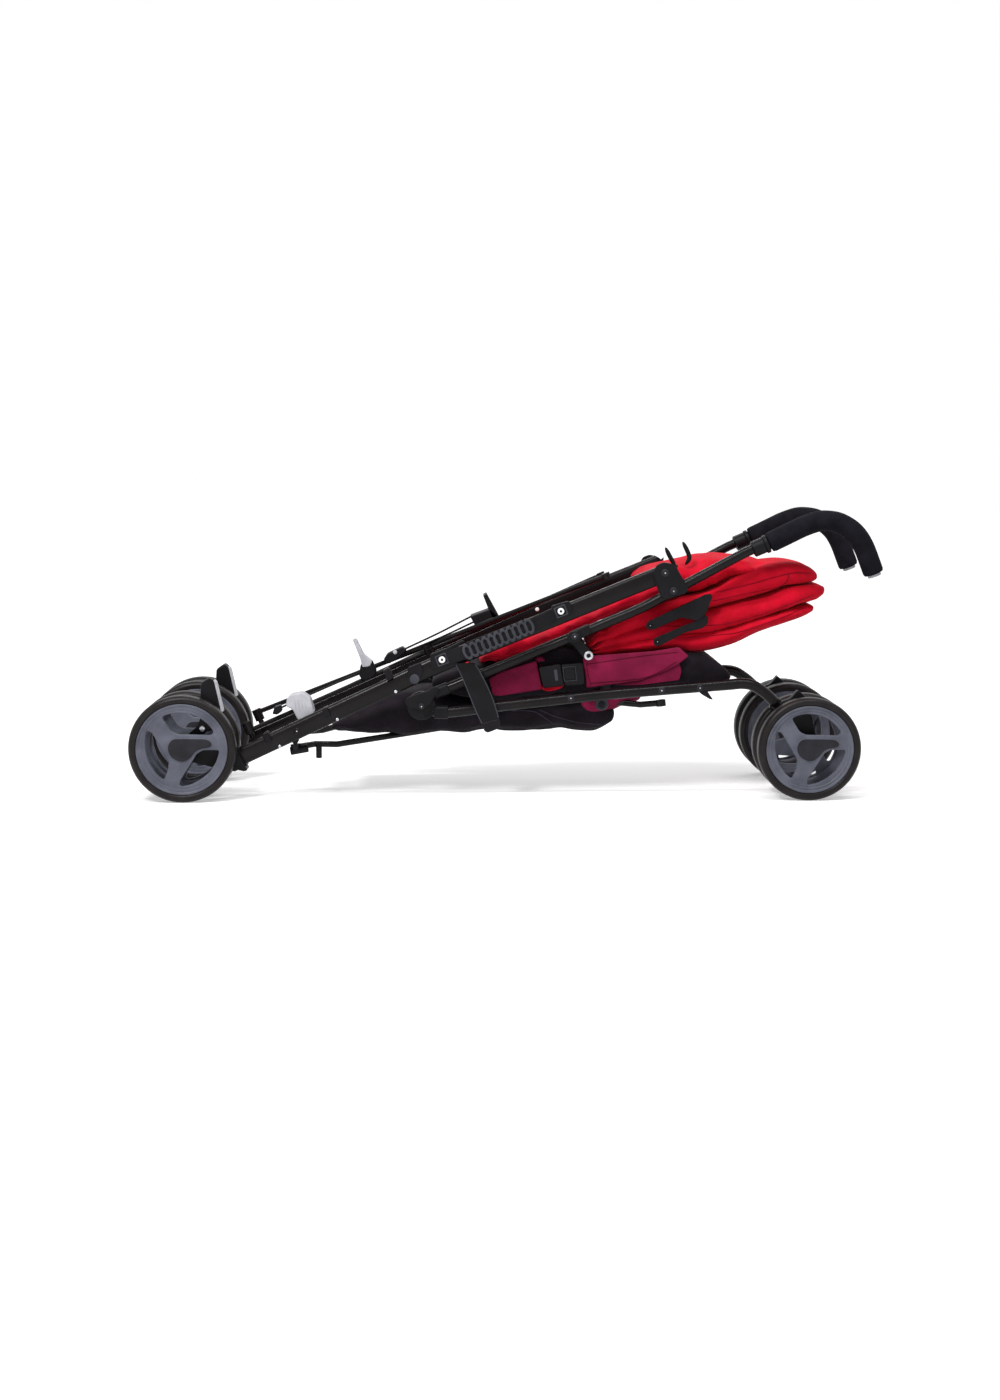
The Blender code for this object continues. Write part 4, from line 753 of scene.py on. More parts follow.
# Carry handle: a black nylon strap on the near rear leg, between two feet that are screwed to the tube.
# Its grip is a row of overlapping dark rubber rings, and a small dark frame surrounds each foot's screw.
FOOT_LEFT = ((-109, 206), (-86, 214.5), (-80, 210), (-80, 191), (-105, 183), (-110, 188))
FOOT_RIGHT = ((60, 273), (83, 280), (88.5, 275), (88, 261), (64, 252), (60, 256))
GRIP_PLATE = (
    (-68, 207), (-66, 216), (-60, 222.5), (-50, 227), (25, 256.5), (33, 256), (38.5, 249), (36.5, 240),
    (28, 234.5), (-50, 202), (-59, 198.5), (-66, 201),
)
FLANGE_LEFT = ((-87, 214), (-64, 225.5), (-61, 222), (-70, 217), (-78, 193), (-84, 197))
RING_START = Vector((-57, 210))
RING_END = Vector((28, 245.5))
RING_COUNT = 11
CORNERS = ((-1, -1), (1, -1), (1, 1), (-1, 1))
leg = "rear_leg_near"
plate = side_plate("carry_grip_plate", leg, GRIP_PLATE, -0.1235, -0.1262, 0.0012)
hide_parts("carry_handle")
for name, foot, screw in (("left", FOOT_LEFT, (-93, 198)), ("right", FOOT_RIGHT, (73, 265.5))):
    side_plate("carry_foot_" + name, leg, foot, -0.1083, -0.1150, 0.0012)
    socket_screw("carry_screw_" + name, screw, -0.1148, -1, 2.0, leg, washer=4.6)
    loops = []
    for wide, tall in ((8.4, 7.8), (6.6, 6.0)):
        along, over = Vector((wide * 0.93, wide * 0.37)), Vector((-tall * 0.37, tall * 0.93))
        corners = [(Vector(screw) + along * i + over * k) / 1000 for i, k in CORNERS]
        loops.append(rounded_loop(corners, 0.0016))
    frame_piece = mesh_piece(
        "carry_frame_" + name, upright(filled(loops, -0.1156, -0.1148, 0.0002)), DARK_GREY
    )
    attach(frame_piece, leg)
side_plate("carry_flange", leg, FLANGE_LEFT, -0.1110, -0.1154, 0.001)
for name, start, end in (
    ("left", (-0.086, -0.1120, 0.1995), (-0.060, -0.1242, 0.210)),
    ("right", (0.030, -0.1242, 0.246), (0.064, -0.1120, 0.2605)),
):
    bow = (Vector(start) + Vector(end)) / 2 - Vector((0, 0.001, 0))
    bar("carry_strap_" + name, spline([start, bow, end], 5), 0.0060, leg, 0.0200, 24, 4.5, edge=0.0006)
lean = math.atan2(RING_END.y - RING_START.y, RING_END.x - RING_START.x)
along = Vector((math.cos(lean), math.sin(lean)))
over = Vector((-math.sin(lean), math.cos(lean)))
turns = [2 * math.pi * k / 32 for k in range(32)]
for i in range(RING_COUNT):
    centre = RING_START.lerp(RING_END, i / (RING_COUNT - 1))
    loops = []
    for wide, tall in ((6.9, 11.4), (3.3, 7.4)):
        loops.append(
            [(centre + along * wide * math.cos(t) + over * tall * math.sin(t)) / 1000 for t in turns]
        )
    ring = upright(filled(loops, -0.1286 - 0.0004 * (i % 2), -0.1250, 0.0009))
    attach(mesh_piece("carry_ring_%02d" % i, ring, DARK_GREY), leg)
    if i < RING_COUNT - 1:
        for k, reach in enumerate((9.3, -9.3)):
            place = centre + (RING_END - RING_START) / (2 * RING_COUNT - 2) + over * reach
            rivet("carry_dot_%02d_%d" % (i, k), place, -0.1284, -1, 1.2, leg, BLACK_NYLON)

# Storage latch: a bowed black nylon band, moulded, and a hooked end that grips the front leg. Raised cords of
# dark grey rubber line its edges; their paler grey is a painted highlight. It swings on the near rear leg and
# keeps the chair folded.
LATCH_OUTLINE = (
    (-75, 193), (-47, 194), (-39, 182), (-29, 162), (-21, 143), (-15, 125), (-12.5, 114), (-30, 107),
    (-38, 107), (-47, 127), (-57, 152), (-66, 174),
)
LATCH_HOOK = ((-38, 109), (-13, 116), (-11.5, 112), (-12.5, 102), (-29.5, 95.5), (-34, 98))
latch = side_plate("latch_band", "storage_latch", LATCH_OUTLINE, -0.1160, -0.1200, 0.0012)
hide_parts("storage_latch")
side_plate("latch_hook", "storage_latch", LATCH_HOOK, -0.1085, -0.1216, 0.0012)
# raised edge cords in paler grey: painted highlights along both edges of the band
for name, route in (
    ("right", ((-47, 192), (-40, 181), (-30, 161), (-22, 142), (-16.5, 125), (-14.5, 117))),
    ("left", ((-73.5, 191), (-65, 174), (-56, 152), (-46, 127), (-37.5, 109))),
):
    line = spline(at_plane(route, -0.1202), 4)
    bar("latch_painted_highlight_" + name, line, 0.0012, "storage_latch", 0.0016, material=DARK_GREY)

# Guides on the frame: black nylon clips and a block over the near rear leg, moulded and snapped on.
# Black release rods run through a guide block to their cam on the near back brace; two prongs hold the hood.
CLIPS = (
    ((-346, 92), (-338, 97), (-331, 84), (-339, 80)),
    ((-262, 128), (-254, 132), (-248, 119), (-256, 115)),
    ((-176, 182), (-168, 187), (-161, 172), (-169, 167)),
)
LEG_BLOCK = ((-141, 187), (-123, 194), (-119, 182), (-123, 171), (-141, 174))
CAM_OUTLINE = ((-178, 189), (-172, 198), (-150, 208), (-144, 202), (-156, 192), (-170, 183))
GUIDE_OUTLINE = ((-334, 117), (-331, 127), (-322, 130), (-320, 121), (-327, 116))
for i, outline in enumerate(CLIPS):
    side_plate("leg_clip_%d" % i, "rear_leg_near", outline, -0.1120, -0.0880, 0.0014)
side_plate("leg_block", "rear_leg_near", LEG_BLOCK, -0.1075, -0.1120, 0.0012)
for name, route in (
    ("high", ((-149, -13, 203), (-100, -8, 225.5), (-50, 6, 250))),
    ("low", ((-150, -13, 198), (-95, -6, 220), (-46, 6, 242))),
    ("guide", ((-329, -65, 122), (-290, -54, 139), (-203, -27, 175), (-170, -14, 190))),
):
    line = spline([Vector(p) / 1000 for p in route], 4)
    bar("release_rod_" + name, line, 0.0028, "back_brace_near", sides=12)
side_plate("release_cam", "back_brace_near", CAM_OUTLINE, -0.0030, -0.0230, 0.0014)
rivet("release_cam_rivet", (-161, 200), -0.0228, -1, 3.2, "back_brace_near", GREY_NYLON)
side_plate("release_guide_block", "back_brace_near", GUIDE_OUTLINE, -0.058, -0.074, 0.0012, 2.0)
for name, route in (
    ("left", ((238, 323), (234.5, 331), (229, 341), (223.5, 352))),
    ("right", ((252, 327), (257.5, 336), (255.5, 345), (248, 360))),
):
    line = spline(at_plane(route, -0.060), 8)
    bar("cloth_prong_" + name, line, 0.0050, "canopy_near", 0.0066, 12, nose=0.012)

# Stops on the near lower brace: a black nylon sleeve pressed over its rear end, and a short peg under it.
STOP_Y = -0.0835
PEG_TOP = Vector((-0.268, -0.0800, 0.074))
PEG_FOOT = Vector((-0.268, -0.0800, 0.055))
brace = frame["nodes"]["lower_brace_near"]["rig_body"]
stop = at_plane(((-308, 65.5), (-283, 70)), STOP_Y)
bar("brace_sleeve", stop, 0.0130, brace, 0.0120, 24, edge=0.001)
bar("brace_peg", [PEG_TOP, PEG_FOOT], 0.0085, brace, sides=20, edge=0.001)

# Canopy clamps: black nylon blocks screwed round the handle tubes, each with an ear and an arm down to the
# canopy's pivot. The pivot is a black pin in a bright zinc eyelet.
CLAMP_OUTLINE = ((85, 234), (112, 246), (118, 234), (92, 221.5))
EAR_OUTLINE = ((81, 226), (86, 236), (98, 238), (104, 230), (98, 221), (88, 219))
ARM_OUTLINE = ((86, 224), (98, 230), (119, 205), (117, 198), (109, 196), (102, 203))
CANOPY_PIVOT = (113.2, 201.4)
EYELET = ((3.2, 0.0), (3.2, 1.2), (4.6, 1.7), (6.2, 1.1), (6.6, 0.0))
for side_name, side in SIDES:
    body = "handle_" + side_name
    clamp = side_plate("canopy_clamp_" + side_name, body, CLAMP_OUTLINE, side * 0.0865, side * 0.1055, 0.0016)
    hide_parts("canopy_mount_" + side_name)
    side_plate("canopy_clamp_ear_" + side_name, body, EAR_OUTLINE, side * 0.1050, side * 0.1078, 0.001)
    socket_screw("canopy_clamp_screw_" + side_name, (93, 229.5), side * 0.1076, side, 5.0, body, CAP_PLASTIC)
    side_plate("canopy_arm_" + side_name, body, ARM_OUTLINE, side * 0.0895, side * 0.0945, 0.001)
    pivot_y = side * 0.0945
    turned_piece("canopy_eyelet_" + side_name, EYELET, CANOPY_PIVOT, pivot_y, side, body, material=ZINC_STEEL)
    rivet("canopy_pivot_head_" + side_name, CANOPY_PIVOT, pivot_y, side, 3.2, body, BLACK_NYLON)

# Canopy levers: two flat black nylon blades a side, moulded, one over the other.
# A small dark screw at the pivot end of each holds it to the cloth's bow.
LEVER_HIGH = (
    (194, 243), (197, 249), (202, 251), (278, 287), (286, 287.5), (288, 283), (278, 258), (267, 250),
    (243, 254), (206, 237.5), (197, 237),
)
LEVER_LOW = (
    (205, 220), (207, 225), (252, 244), (258, 246), (278, 258), (283, 254), (282, 245), (275, 239),
    (250, 233), (215, 214), (207, 214),
)
for side_name, side in SIDES:
    body = "canopy_" + side_name
    side_plate("lever_low_" + side_name, body, LEVER_LOW, side * 0.0815, side * 0.0850, 0.0008)
    high = side_plate("lever_high_" + side_name, body, LEVER_HIGH, side * 0.0848, side * 0.0886, 0.0009)
    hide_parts("canopy_lever_" + side_name)
    socket_screw("lever_screw_high_" + side_name, (200.5, 243), side * 0.0884, side, 2.9, body)
    socket_screw("lever_screw_low_" + side_name, (211, 220), side * 0.0848, side, 2.9, body)

# Grips: hooks of black EVA foam, moulded as tubes and pushed over the handle ends.
# A rubber collar and a lip close each at the frame, and a pale plastic plug closes its end.
GRIP_ROUTE = (
    (363, 358.5), (380, 366.5), (397, 374.8), (412, 382), (428, 388), (439, 390.3), (451, 390), (461.5, 388),
    (471.7, 383.5), (481.5, 377), (490, 368.2), (496.3, 358.5), (501.5, 348), (508.5, 330), (514.8, 313.5),
)
COLLAR_ROUTE = ((341.5, 349.6), (350, 353.2), (361, 357.8))
LIP_ROUTE = ((359, 356.8), (364, 359))
PORE_MM = 1.25


def foam_material():
    """Closed-cell EVA foam: matt, soft black with open pores."""
    made, tree, shader, point = new_material("EVA foam", 0.88, 0.08)
    two_tone(tree, shader, point, 16.7, "0E0D12", "17161C", 5.0)
    cells = add_node(tree, "ShaderNodeTexVoronoi", {"Vector": point}, Scale=1000 / PORE_MM)
    bump = add_node(tree, "ShaderNodeBump", {"Height": cells.outputs["Distance"]}, Distance=0.00022)
    tree.links.new(bump.outputs["Normal"], shader.inputs["Normal"])
    return made


FOAM = foam_material()
for side_name, side in SIDES:
    body = "handle_" + side_name
    y = side * ROUND_TUBE_Y
    line = spline(at_plane(GRIP_ROUTE, y), 5)
    grip = bar("grip_foam_" + side_name, line, 0.0292, body, sides=32, nose=0.006, material=FOAM, smooth=60)
    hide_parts("grip_" + side_name)
    collar_line = spline(at_plane(COLLAR_ROUTE, y), 8)
    collar = bar("grip_collar_ring_" + side_name, collar_line, 0.0228, body, sides=28, nose=0.0025)
    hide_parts("grip_collar_" + side_name)
    bar("grip_lip_" + side_name, at_plane(LIP_ROUTE, y), 0.0262, body, sides=28, edge=0.0012)
    ahead = (line[-1] - line[-4]).normalized()
    plug = [line[-1] - ahead * 0.004, line[-1] + ahead * 0.0012]
    bar("grip_plug_" + side_name, plug, 0.0190, body, sides=24, edge=0.0010, material=GREY_NYLON)

# Canopy: the red hood, sewn from plain-woven polyester over its bows, which fold it up between the handles
# into three thick leaves and a loose back. Each leaf is slack cloth filled with a little air, between an
# upper and a lower line of the side view, in millimetres.
SEAM_FALLBACK = 0.08  # how far from the middle a seam lies where no cloth is under it
CLOTH_FRAMES = 20
WEAVE_MM = 3.456
HOOD_TOP = (
    (114, 212), (120, 226), (130, 232), (146, 237), (153, 247), (186, 262), (222, 271), (267, 282),
    (297, 292), (327, 311), (356, 328), (386, 335), (408, 337.5), (428, 333), (440, 325.5), (448, 316),
)
HOOD_LOW = (
    (112, 206), (142, 222), (177, 234), (213, 244), (255, 256), (294, 267), (335, 277), (374, 288),
    (398, 296.5), (428, 299.5), (449, 304),
)
MIDDLE_TOP = (
    (112, 207), (142, 224), (177, 236), (213, 246), (255, 258), (294, 268), (335, 277), (374, 286),
    (400, 297), (430, 302.5), (448, 303), (458, 299),
)
MIDDLE_LOW = (
    (110, 203), (163, 213), (207, 221), (255, 227), (303, 232), (356, 248), (401, 264), (422, 272),
    (440, 275.5), (452, 280), (459, 287),
)
BOTTOM_TOP = (
    (110, 203), (163, 214), (207, 223), (255, 229), (303, 234), (356, 250), (401, 265.5), (426, 273),
    (443, 276.5),
)
BOTTOM_LOW = (
    (106, 199), (140, 200), (177, 203), (240, 207), (267, 203), (297, 207), (327, 216), (350, 229),
    (371, 238), (413, 251), (435, 258.5), (446, 266),
)
BACK_TOP = (
    (182, 311), (190, 315), (202, 319), (219, 322), (238, 325), (257, 333), (275, 337), (305, 338),
    (332, 334), (359, 330), (380, 326), (394, 322),
)
BACK_LOW = (
    (180, 302), (200, 300), (219, 298), (240, 292), (255, 288), (271, 290), (289, 296), (315, 304),
    (335, 310), (353, 314), (371, 317), (388, 319),
)
SEAM_ROUTES = {
    "hood_hem_high": ((293, 288), (341, 300), (398, 315.5), (432, 315)),
    "hood_hem_low": ((288, 276), (335, 286), (374, 294), (393, 301), (397, 315)),
    "middle_seam": ((210, 240), (301, 243), (356, 256), (401, 272), (434, 285)),
    "bottom_seam": ((232, 222), (298, 228), (330, 233), (386, 252), (422, 266)),
}


def cloth_material(name, dark, light, crease=0.0022):
    """Plain-woven polyester: crossed threads, faint creases and a soft sheen. The real threads are half a
    millimetre apart and would not show, so the weave is drawn 3.5 mm wide."""
    made, tree, shader, point = new_material(name, 0.8, 0.08)
    two_tone(tree, shader, point, 33.3, dark, light, 5.0, 0.30, 0.70)
    shader.inputs["Sheen Weight"].default_value = 0.02
    # At scale 1 a wave texture repeats 20 / (2 pi) times in a metre.
    scale = 1000 / WEAVE_MM * 2 * math.pi / 20
    weave = []
    for axis in ("X", "Z"):
        settings = {"bands_direction": axis, "Scale": scale, "Distortion": 0.6}
        wave = add_node(tree, "ShaderNodeTexWave", {"Vector": point}, **settings)
        weave.append(wave.outputs["Fac"])
    crossed = add_node(tree, "ShaderNodeMath", {"Value": weave[0]}, operation="MULTIPLY")
    tree.links.new(weave[1], crossed.inputs[1])
    soft = relief(tree, shader, point, 23.8, crease, 6.0, 0.5, 0.4)
    links = {"Height": crossed.outputs["Value"], "Normal": soft.outputs["Normal"]}
    fine = add_node(tree, "ShaderNodeBump", links, Distance=0.00012)
    tree.links.new(fine.outputs["Normal"], shader.inputs["Normal"])
    return made


RED_CLOTH = cloth_material("red polyester", "A8051B", "C40926")
RED_SHADE = cloth_material("red polyester binding", "7A0418", "8E0820")


def length_wise(route, count):
    """Evenly spaced points along an open side-view line in millimetres."""
    points = spline(at_plane(route, 0), 8)
    run = run_along(points)
    made = []
    k = 0
    for i in range(count):
        goal = run[-1] * i / (count - 1)
        while k < len(points) - 2 and run[k + 1] < goal:
            k += 1
        share = (goal - run[k]) / max(1e-9, run[k + 1] - run[k])
        made.append(points[k].lerp(points[k + 1], min(1.0, share)))
    return made


def leaf(top, low, half, steps=52, sides=44, power=3.4, nose=0.12, narrow=0.28, ruffle=0.0, seed=0):
    """A closed, pillow-like fold of cloth between two side-view lines, half wide to each side of the middle.
    nose is the share of the length over which its far end narrows by narrow; ruffle is a crumple's depth."""
    bm = bmesh.new()
    rings = []
    for i, (t, l) in enumerate(zip(length_wise(top, steps), length_wise(low, steps))):
        u = i / (steps - 1)
        centre, reach = (t + l) / 2, (t - l) / 2
        wide = half
        if u > 1 - nose:
            wide *= 1 - narrow * ((u - 1 + nose) / nose) ** 2
        ring = []
        for k in range(sides):
            c, s = oval(2 * math.pi * (k + 0.5) / sides, power)
            y = c * wide
            p = centre + reach * (s * (0.8 if abs(y) < wide * 0.8 else 1.0))
            if ruffle:
                sway = noise.noise(Vector((p.x * 22 + seed, y * 9, seed)))
                sway += 0.6 * noise.noise(Vector((p.x * 61, y * 20, seed)))
                p = p + reach.normalized() * sway * ruffle
                y += noise.noise(Vector((p.x * 36, p.z * 70, seed + 5))) * ruffle * (1 if c > 0 else -1)
            ring.append(bm.verts.new((p.x, y, p.z)))
        rings.append(ring)
    return skin(bm, rings)


def fill_cloth(piece, most, held_x=-math.inf, voxel=0.0055):
    """Simulate a closed piece as slack cloth with some air in it, then smooth it. What lies behind held_x is
    held, and no point moves further than most."""
    remesh = piece.modifiers.new("even mesh", "REMESH")
    remesh.mode = "VOXEL"
    remesh.voxel_size = voxel
    graph = bpy.context.evaluated_depsgraph_get()
    mesh = bpy.data.meshes.new_from_object(piece.evaluated_get(graph))
    piece.modifiers.clear()
    material = piece.data.materials[0]
    piece.data = mesh
    if not mesh.materials:
        mesh.materials.append(material)
    rest = [v.co.copy() for v in mesh.vertices]
    pins = piece.vertex_groups.new(name="held")
    pins.add([i for i, p in enumerate(rest) if p.x < held_x], 1.0, "REPLACE")
    cloth = piece.modifiers.new("cloth", "CLOTH")
    set_up = cloth.settings
    set_up.quality = 6
    set_up.mass = 0.2
    set_up.tension_stiffness = 12
    set_up.compression_stiffness = 12
    set_up.shear_stiffness = 4
    set_up.bending_stiffness = 0.08
    set_up.use_pressure = True
    set_up.uniform_pressure_force = 4.0
    set_up.vertex_group_mass = "held"
    set_up.effector_weights.gravity = 0.0
    cloth.collision_settings.use_collision = False
    cloth.collision_settings.use_self_collision = False
    cloth.point_cache.frame_start = 1
    cloth.point_cache.frame_end = CLOTH_FRAMES
    scene = bpy.context.scene
    for frame_number in range(1, CLOTH_FRAMES + 1):
        scene.frame_set(frame_number)
    graph = bpy.context.evaluated_depsgraph_get()
    moved = piece.evaluated_get(graph).data
    for v, old, new in zip(mesh.vertices, rest, moved.vertices):
        step = new.co - old
        if step.length > most:
            step *= most / step.length
        v.co = old + step
    piece.modifiers.clear()
    scene.frame_set(1)
    finer = piece.modifiers.new("finer", "SUBSURF")
    finer.levels = 1
    finer.render_levels = 1
    graph = bpy.context.evaluated_depsgraph_get()
    fine = bpy.data.meshes.new_from_object(piece.evaluated_get(graph))
    piece.modifiers.clear()
    piece.vertex_groups.clear()
    piece.data = fine
    fine.polygons.foreach_set("use_smooth", [True] * len(fine.polygons))
    return piece


def stretched(piece):
    """Padded cloth that spans from the near side to the far side: its placement is baked into its mesh, and
    it rides on no body.
    """
    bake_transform(piece)


def surface_finder(pieces):
    """A function that gives the point on these pieces' outer face at a side-view place, from one side."""
    trees = []
    for piece in pieces:
        faces = [f.vertices[:] for f in piece.data.polygons]
        trees.append(BVHTree.FromPolygons([v.co for v in piece.data.vertices], faces))

    def find(x, z, side):
        best = None
        for tree in trees:
            hit = tree.ray_cast(Vector((x, side * 0.3, z)), Vector((0, -side, 0)))[0]
            if hit and (best is None or hit.y * side > best.y * side):
                best = hit
        return best or Vector((x, side * SEAM_FALLBACK, z))

    return find


def laid_line(name, route, side, find, thick, material):
    """A seam or binding laid on cloth along a side-view route in millimetres."""
    points = []
    for p in spline(at_plane(route, 0), 10):
        hit = find(p.x, p.z, side)
        points.append(Vector((hit.x, hit.y + side * 0.0002, hit.z)))
    smooth = [points[0]]
    for a, b, c in zip(points, points[1:], points[2:]):
        smooth.append(Vector((b.x, (a.y + b.y * 2 + c.y) / 4, b.z)))
    smooth.append(points[-1])
    seam = mesh_piece(name, sweep(smooth, thick, nose=thick), material, 60)
    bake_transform(seam)


layers = []
for name, top, low, half, shape in (
    ("canopy_hood", HOOD_TOP, HOOD_LOW, 0.0795, dict(narrow=0.30, nose=0.16)),
    ("canopy_middle", MIDDLE_TOP, MIDDLE_LOW, 0.0785, dict(narrow=0.26, nose=0.14)),
    ("canopy_bottom", BOTTOM_TOP, BOTTOM_LOW, 0.0775, dict(narrow=0.30, nose=0.18)),
    ("canopy_back", BACK_TOP, BACK_LOW, 0.0740, dict(narrow=0.2, nose=0.2, ruffle=0.0045, power=2.2)),
):
    layer = mesh_piece(name, leaf(top, low, half, **shape), RED_CLOTH, 0)
    layers.append(fill_cloth(layer, 0.006, 0.125))
    stretched(layer)
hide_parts("canopy_cloth")
find = surface_finder(layers[:3])
for name, route in SEAM_ROUTES.items():
    for side_name, side in SIDES:
        laid_line(name + "_" + side_name, route, side, find, 0.0016, RED_SHADE)

# Backrest: the slack red back panel, of the same polyester, that bags between the rear legs and the handle
# tubes. It is sewn round both and hangs in deep creases when the chair is folded.
BACKREST_TOP = (
    (-40, 196), (-27, 204), (-10, 211), (15, 220), (40, 227), (57, 234), (76, 245), (96, 252), (113, 260),
    (127, 258), (141, 268), (160, 275), (177, 286), (194, 290), (208, 294), (225, 301), (238, 302),
)
BACKREST_LOW = ((-42, 184), (-10, 191), (40, 211), (85, 230), (130, 249), (169, 264), (212, 278), (234, 284))
SLACK_RED = cloth_material("slack red polyester", "90041A", "C40926", 0.011)
bag = leaf(BACKREST_TOP, BACKREST_LOW, 0.0850, ruffle=0.0085, power=3.0, nose=0.05, narrow=0.1, seed=3)
backrest = fill_cloth(mesh_piece("backrest_panel", bag, SLACK_RED, 0), 0.006, -0.03)
stretched(backrest)
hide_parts("backrest_cloth")

# Seat: folded flat under the canopy, of black polyester, with padded maroon wings stitched on at each side.
# Its loose cloth gathers below the front legs, held by the seat's adjuster.
SEAT_TOP = (
    (-114, 164), (-98, 170), (-70, 178), (-42, 187), (-15, 193), (20, 202), (50, 209), (75, 215), (106, 208),
    (150, 203), (204, 204), (243, 207), (262, 204), (285, 201), (305, 189), (318, 176),
)
SEAT_LOW = (
    (-108, 148), (-80, 142), (-52, 137), (-20, 132), (-10, 132), (49, 138), (75, 141), (110, 145), (150, 149),
    (186, 148), (219, 150), (244, 152), (280, 155), (305, 158), (326, 161),
)
WING_Y = 0.0775
WING_RIGHT = (
    (106, 195), (107, 199), (204, 206), (242, 212), (256, 199), (241, 187), (219, 176), (186, 164),
    (111, 154),
)
WING_LOWER = ((150, 158), (186, 163), (216, 174), (243, 189), (246, 178), (243, 165), (186, 158))
WING_LEFT = ((-27, 167), (-10, 177), (40, 193), (49, 152), (-10, 143), (-21, 144))
STITCHES = (
    ((111, 188), (186, 199), (240, 205)),
    ((117, 161), (186, 167.5), (216, 178), (238, 191)),
    ((111, 190), (113, 175), (117, 158)),
    ((46, 188), (48, 172), (52, 153)),
)
GATHER_TOP = ((100, 146), (120, 148), (150, 150), (180, 152), (200, 153))
GATHER_LOW = ((103, 122), (112, 114), (133, 113), (163, 127), (195, 136))
MAROON_CLOTH = cloth_material("maroon polyester", "671230", "7E183C")
BLACK_CLOTH = cloth_material("black polyester", "100C10", "1C171E")
THREAD = cloth_material("dark sewing thread", "3A0713", "4A0A19")
fold = leaf(SEAT_TOP, SEAT_LOW, 0.0760, ruffle=0.002, power=5.0, nose=0.08, narrow=0.1, seed=9)
seat = fill_cloth(mesh_piece("seat_fold", fold, BLACK_CLOTH, 0), 0.004)
stretched(seat)
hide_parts("seat_cloth")
bunch = leaf(GATHER_TOP, GATHER_LOW, 0.0720, ruffle=0.003, power=3.0, seed=21, steps=30)
stretched(fill_cloth(mesh_piece("seat_gather", bunch, MAROON_CLOTH, 0), 0.005))
for side_name, side in SIDES:
    body = "handle_" + side_name
    for name, outline, y, thick in (
        ("wing_right_", WING_RIGHT, WING_Y, 0.0055),
        ("wing_lower_", WING_LOWER, WING_Y - 0.001, 0.0035),
        ("wing_left_", WING_LEFT, WING_Y, 0.0050),
    ):
        faces = (side * y, side * (y + thick))
        wing = side_plate(name + side_name, body, outline, *faces, 0.0018, 3.0, MAROON_CLOTH, 60)
    for i, route in enumerate(STITCHES):
        line = spline(at_plane(route, side * 0.0832), 6)
        bar("wing_stitch_%d_%s" % (i, side_name), line, 0.0008, body, 0.0009, 6, material=THREAD)

# Harness buckle: two moulded black nylon halves that clip into one another over the seat, and a press
# button. A dark rim surrounds the button, and a dark slot in the left half takes the strap.
BUCKLE_LEFT = ((43, 184), (70, 188.5), (74, 188.5), (79, 160), (77, 157.5), (50, 154.5))
BUCKLE_RIGHT = ((75, 188), (103, 190.5), (106, 188), (108.5, 161), (105, 159), (80.5, 157.5))
BUCKLE_SLOT = ((64.5, 181), (69, 181.6), (71, 165.5), (66.5, 165))
BUCKLE_PRESS = ((79, 182.5), (93, 183.8), (95, 167.5), (81, 166.3))
PRESS_RIM = ((77.2, 184.2), (94.6, 185.6), (97, 166), (79.5, 164.6), (77.2, 184.2))
tongue = side_plate("buckle_half_left", "handle_near", BUCKLE_LEFT, -0.0790, -0.0895, 0.0015)
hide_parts("buckle_tongue")
socket = side_plate("buckle_half_right", "handle_near", BUCKLE_RIGHT, -0.0790, -0.0900, 0.0015)
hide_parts("buckle_socket")
side_plate("buckle_slot", "handle_near", BUCKLE_SLOT, -0.0880, -0.0898, 0.0004, 1.6, DARK_GREY)
press = side_plate("buckle_press", "buckle_button", BUCKLE_PRESS, -0.0880, -0.0912, 0.0009)
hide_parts("buckle_button")
rim = spline(at_plane(PRESS_RIM, -0.0902), 1)
bar("buckle_button_rim", rim, 0.0010, "handle_near", 0.0012, material=DARK_GREY)

# Loose cloth by the buckle: a bright red fold under it, a maroon frill above and a red tuck further back.
# They are the free edges of the seat's and the backrest's panels, and show crumpled.
FOLD_TOP = ((40, 160), (56, 160), (70, 162), (84, 163.5))
FOLD_LOW = ((42, 151), (58, 147.5), (72, 151), (86, 160))
CRUMPLES = (
    ("fold", FOLD_TOP, FOLD_LOW, RED_CLOTH),
    ("frill", ((38, 196), (45, 201), (52, 198)), ((36, 186), (46, 186), (54, 188)), MAROON_CLOTH),
    ("tuck", ((-75, 188), (-64, 191), (-54, 189)), ((-74, 181), (-62, 179), (-53, 181)), RED_CLOTH),
)
for name, top, low, material in CRUMPLES:
    edge = leaf(top, low, 0.0800, ruffle=0.002, power=2.4, nose=0.3, narrow=0.05, seed=31, steps=16, sides=36)
    crumple = fill_cloth(mesh_piece("crumple_" + name, edge, material, 0), 0.003, voxel=0.004)
    stretched(crumple)

# Adjuster button: a round button of dark grey rubber in the gather of the seat, with a black nylon middle.
# It is turned here as one disc with a raised rim.
BUTTON_PLACE = (133, 131)
BUTTON = ((0.0, 1.6), (5.6, 1.6), (6.4, 3.2), (8.2, 3.0), (9.2, 1.6), (9.6, 0.0), (9.6, -2.5), (0.0, -2.5))
turned_piece("adjuster_button", BUTTON, BUTTON_PLACE, -0.0790, -1, "seat_knob", 36, DARK_GREY)
rivet("adjuster_button_middle", BUTTON_PLACE, -0.0806, -1, 4.4, "seat_knob", BLACK_NYLON)
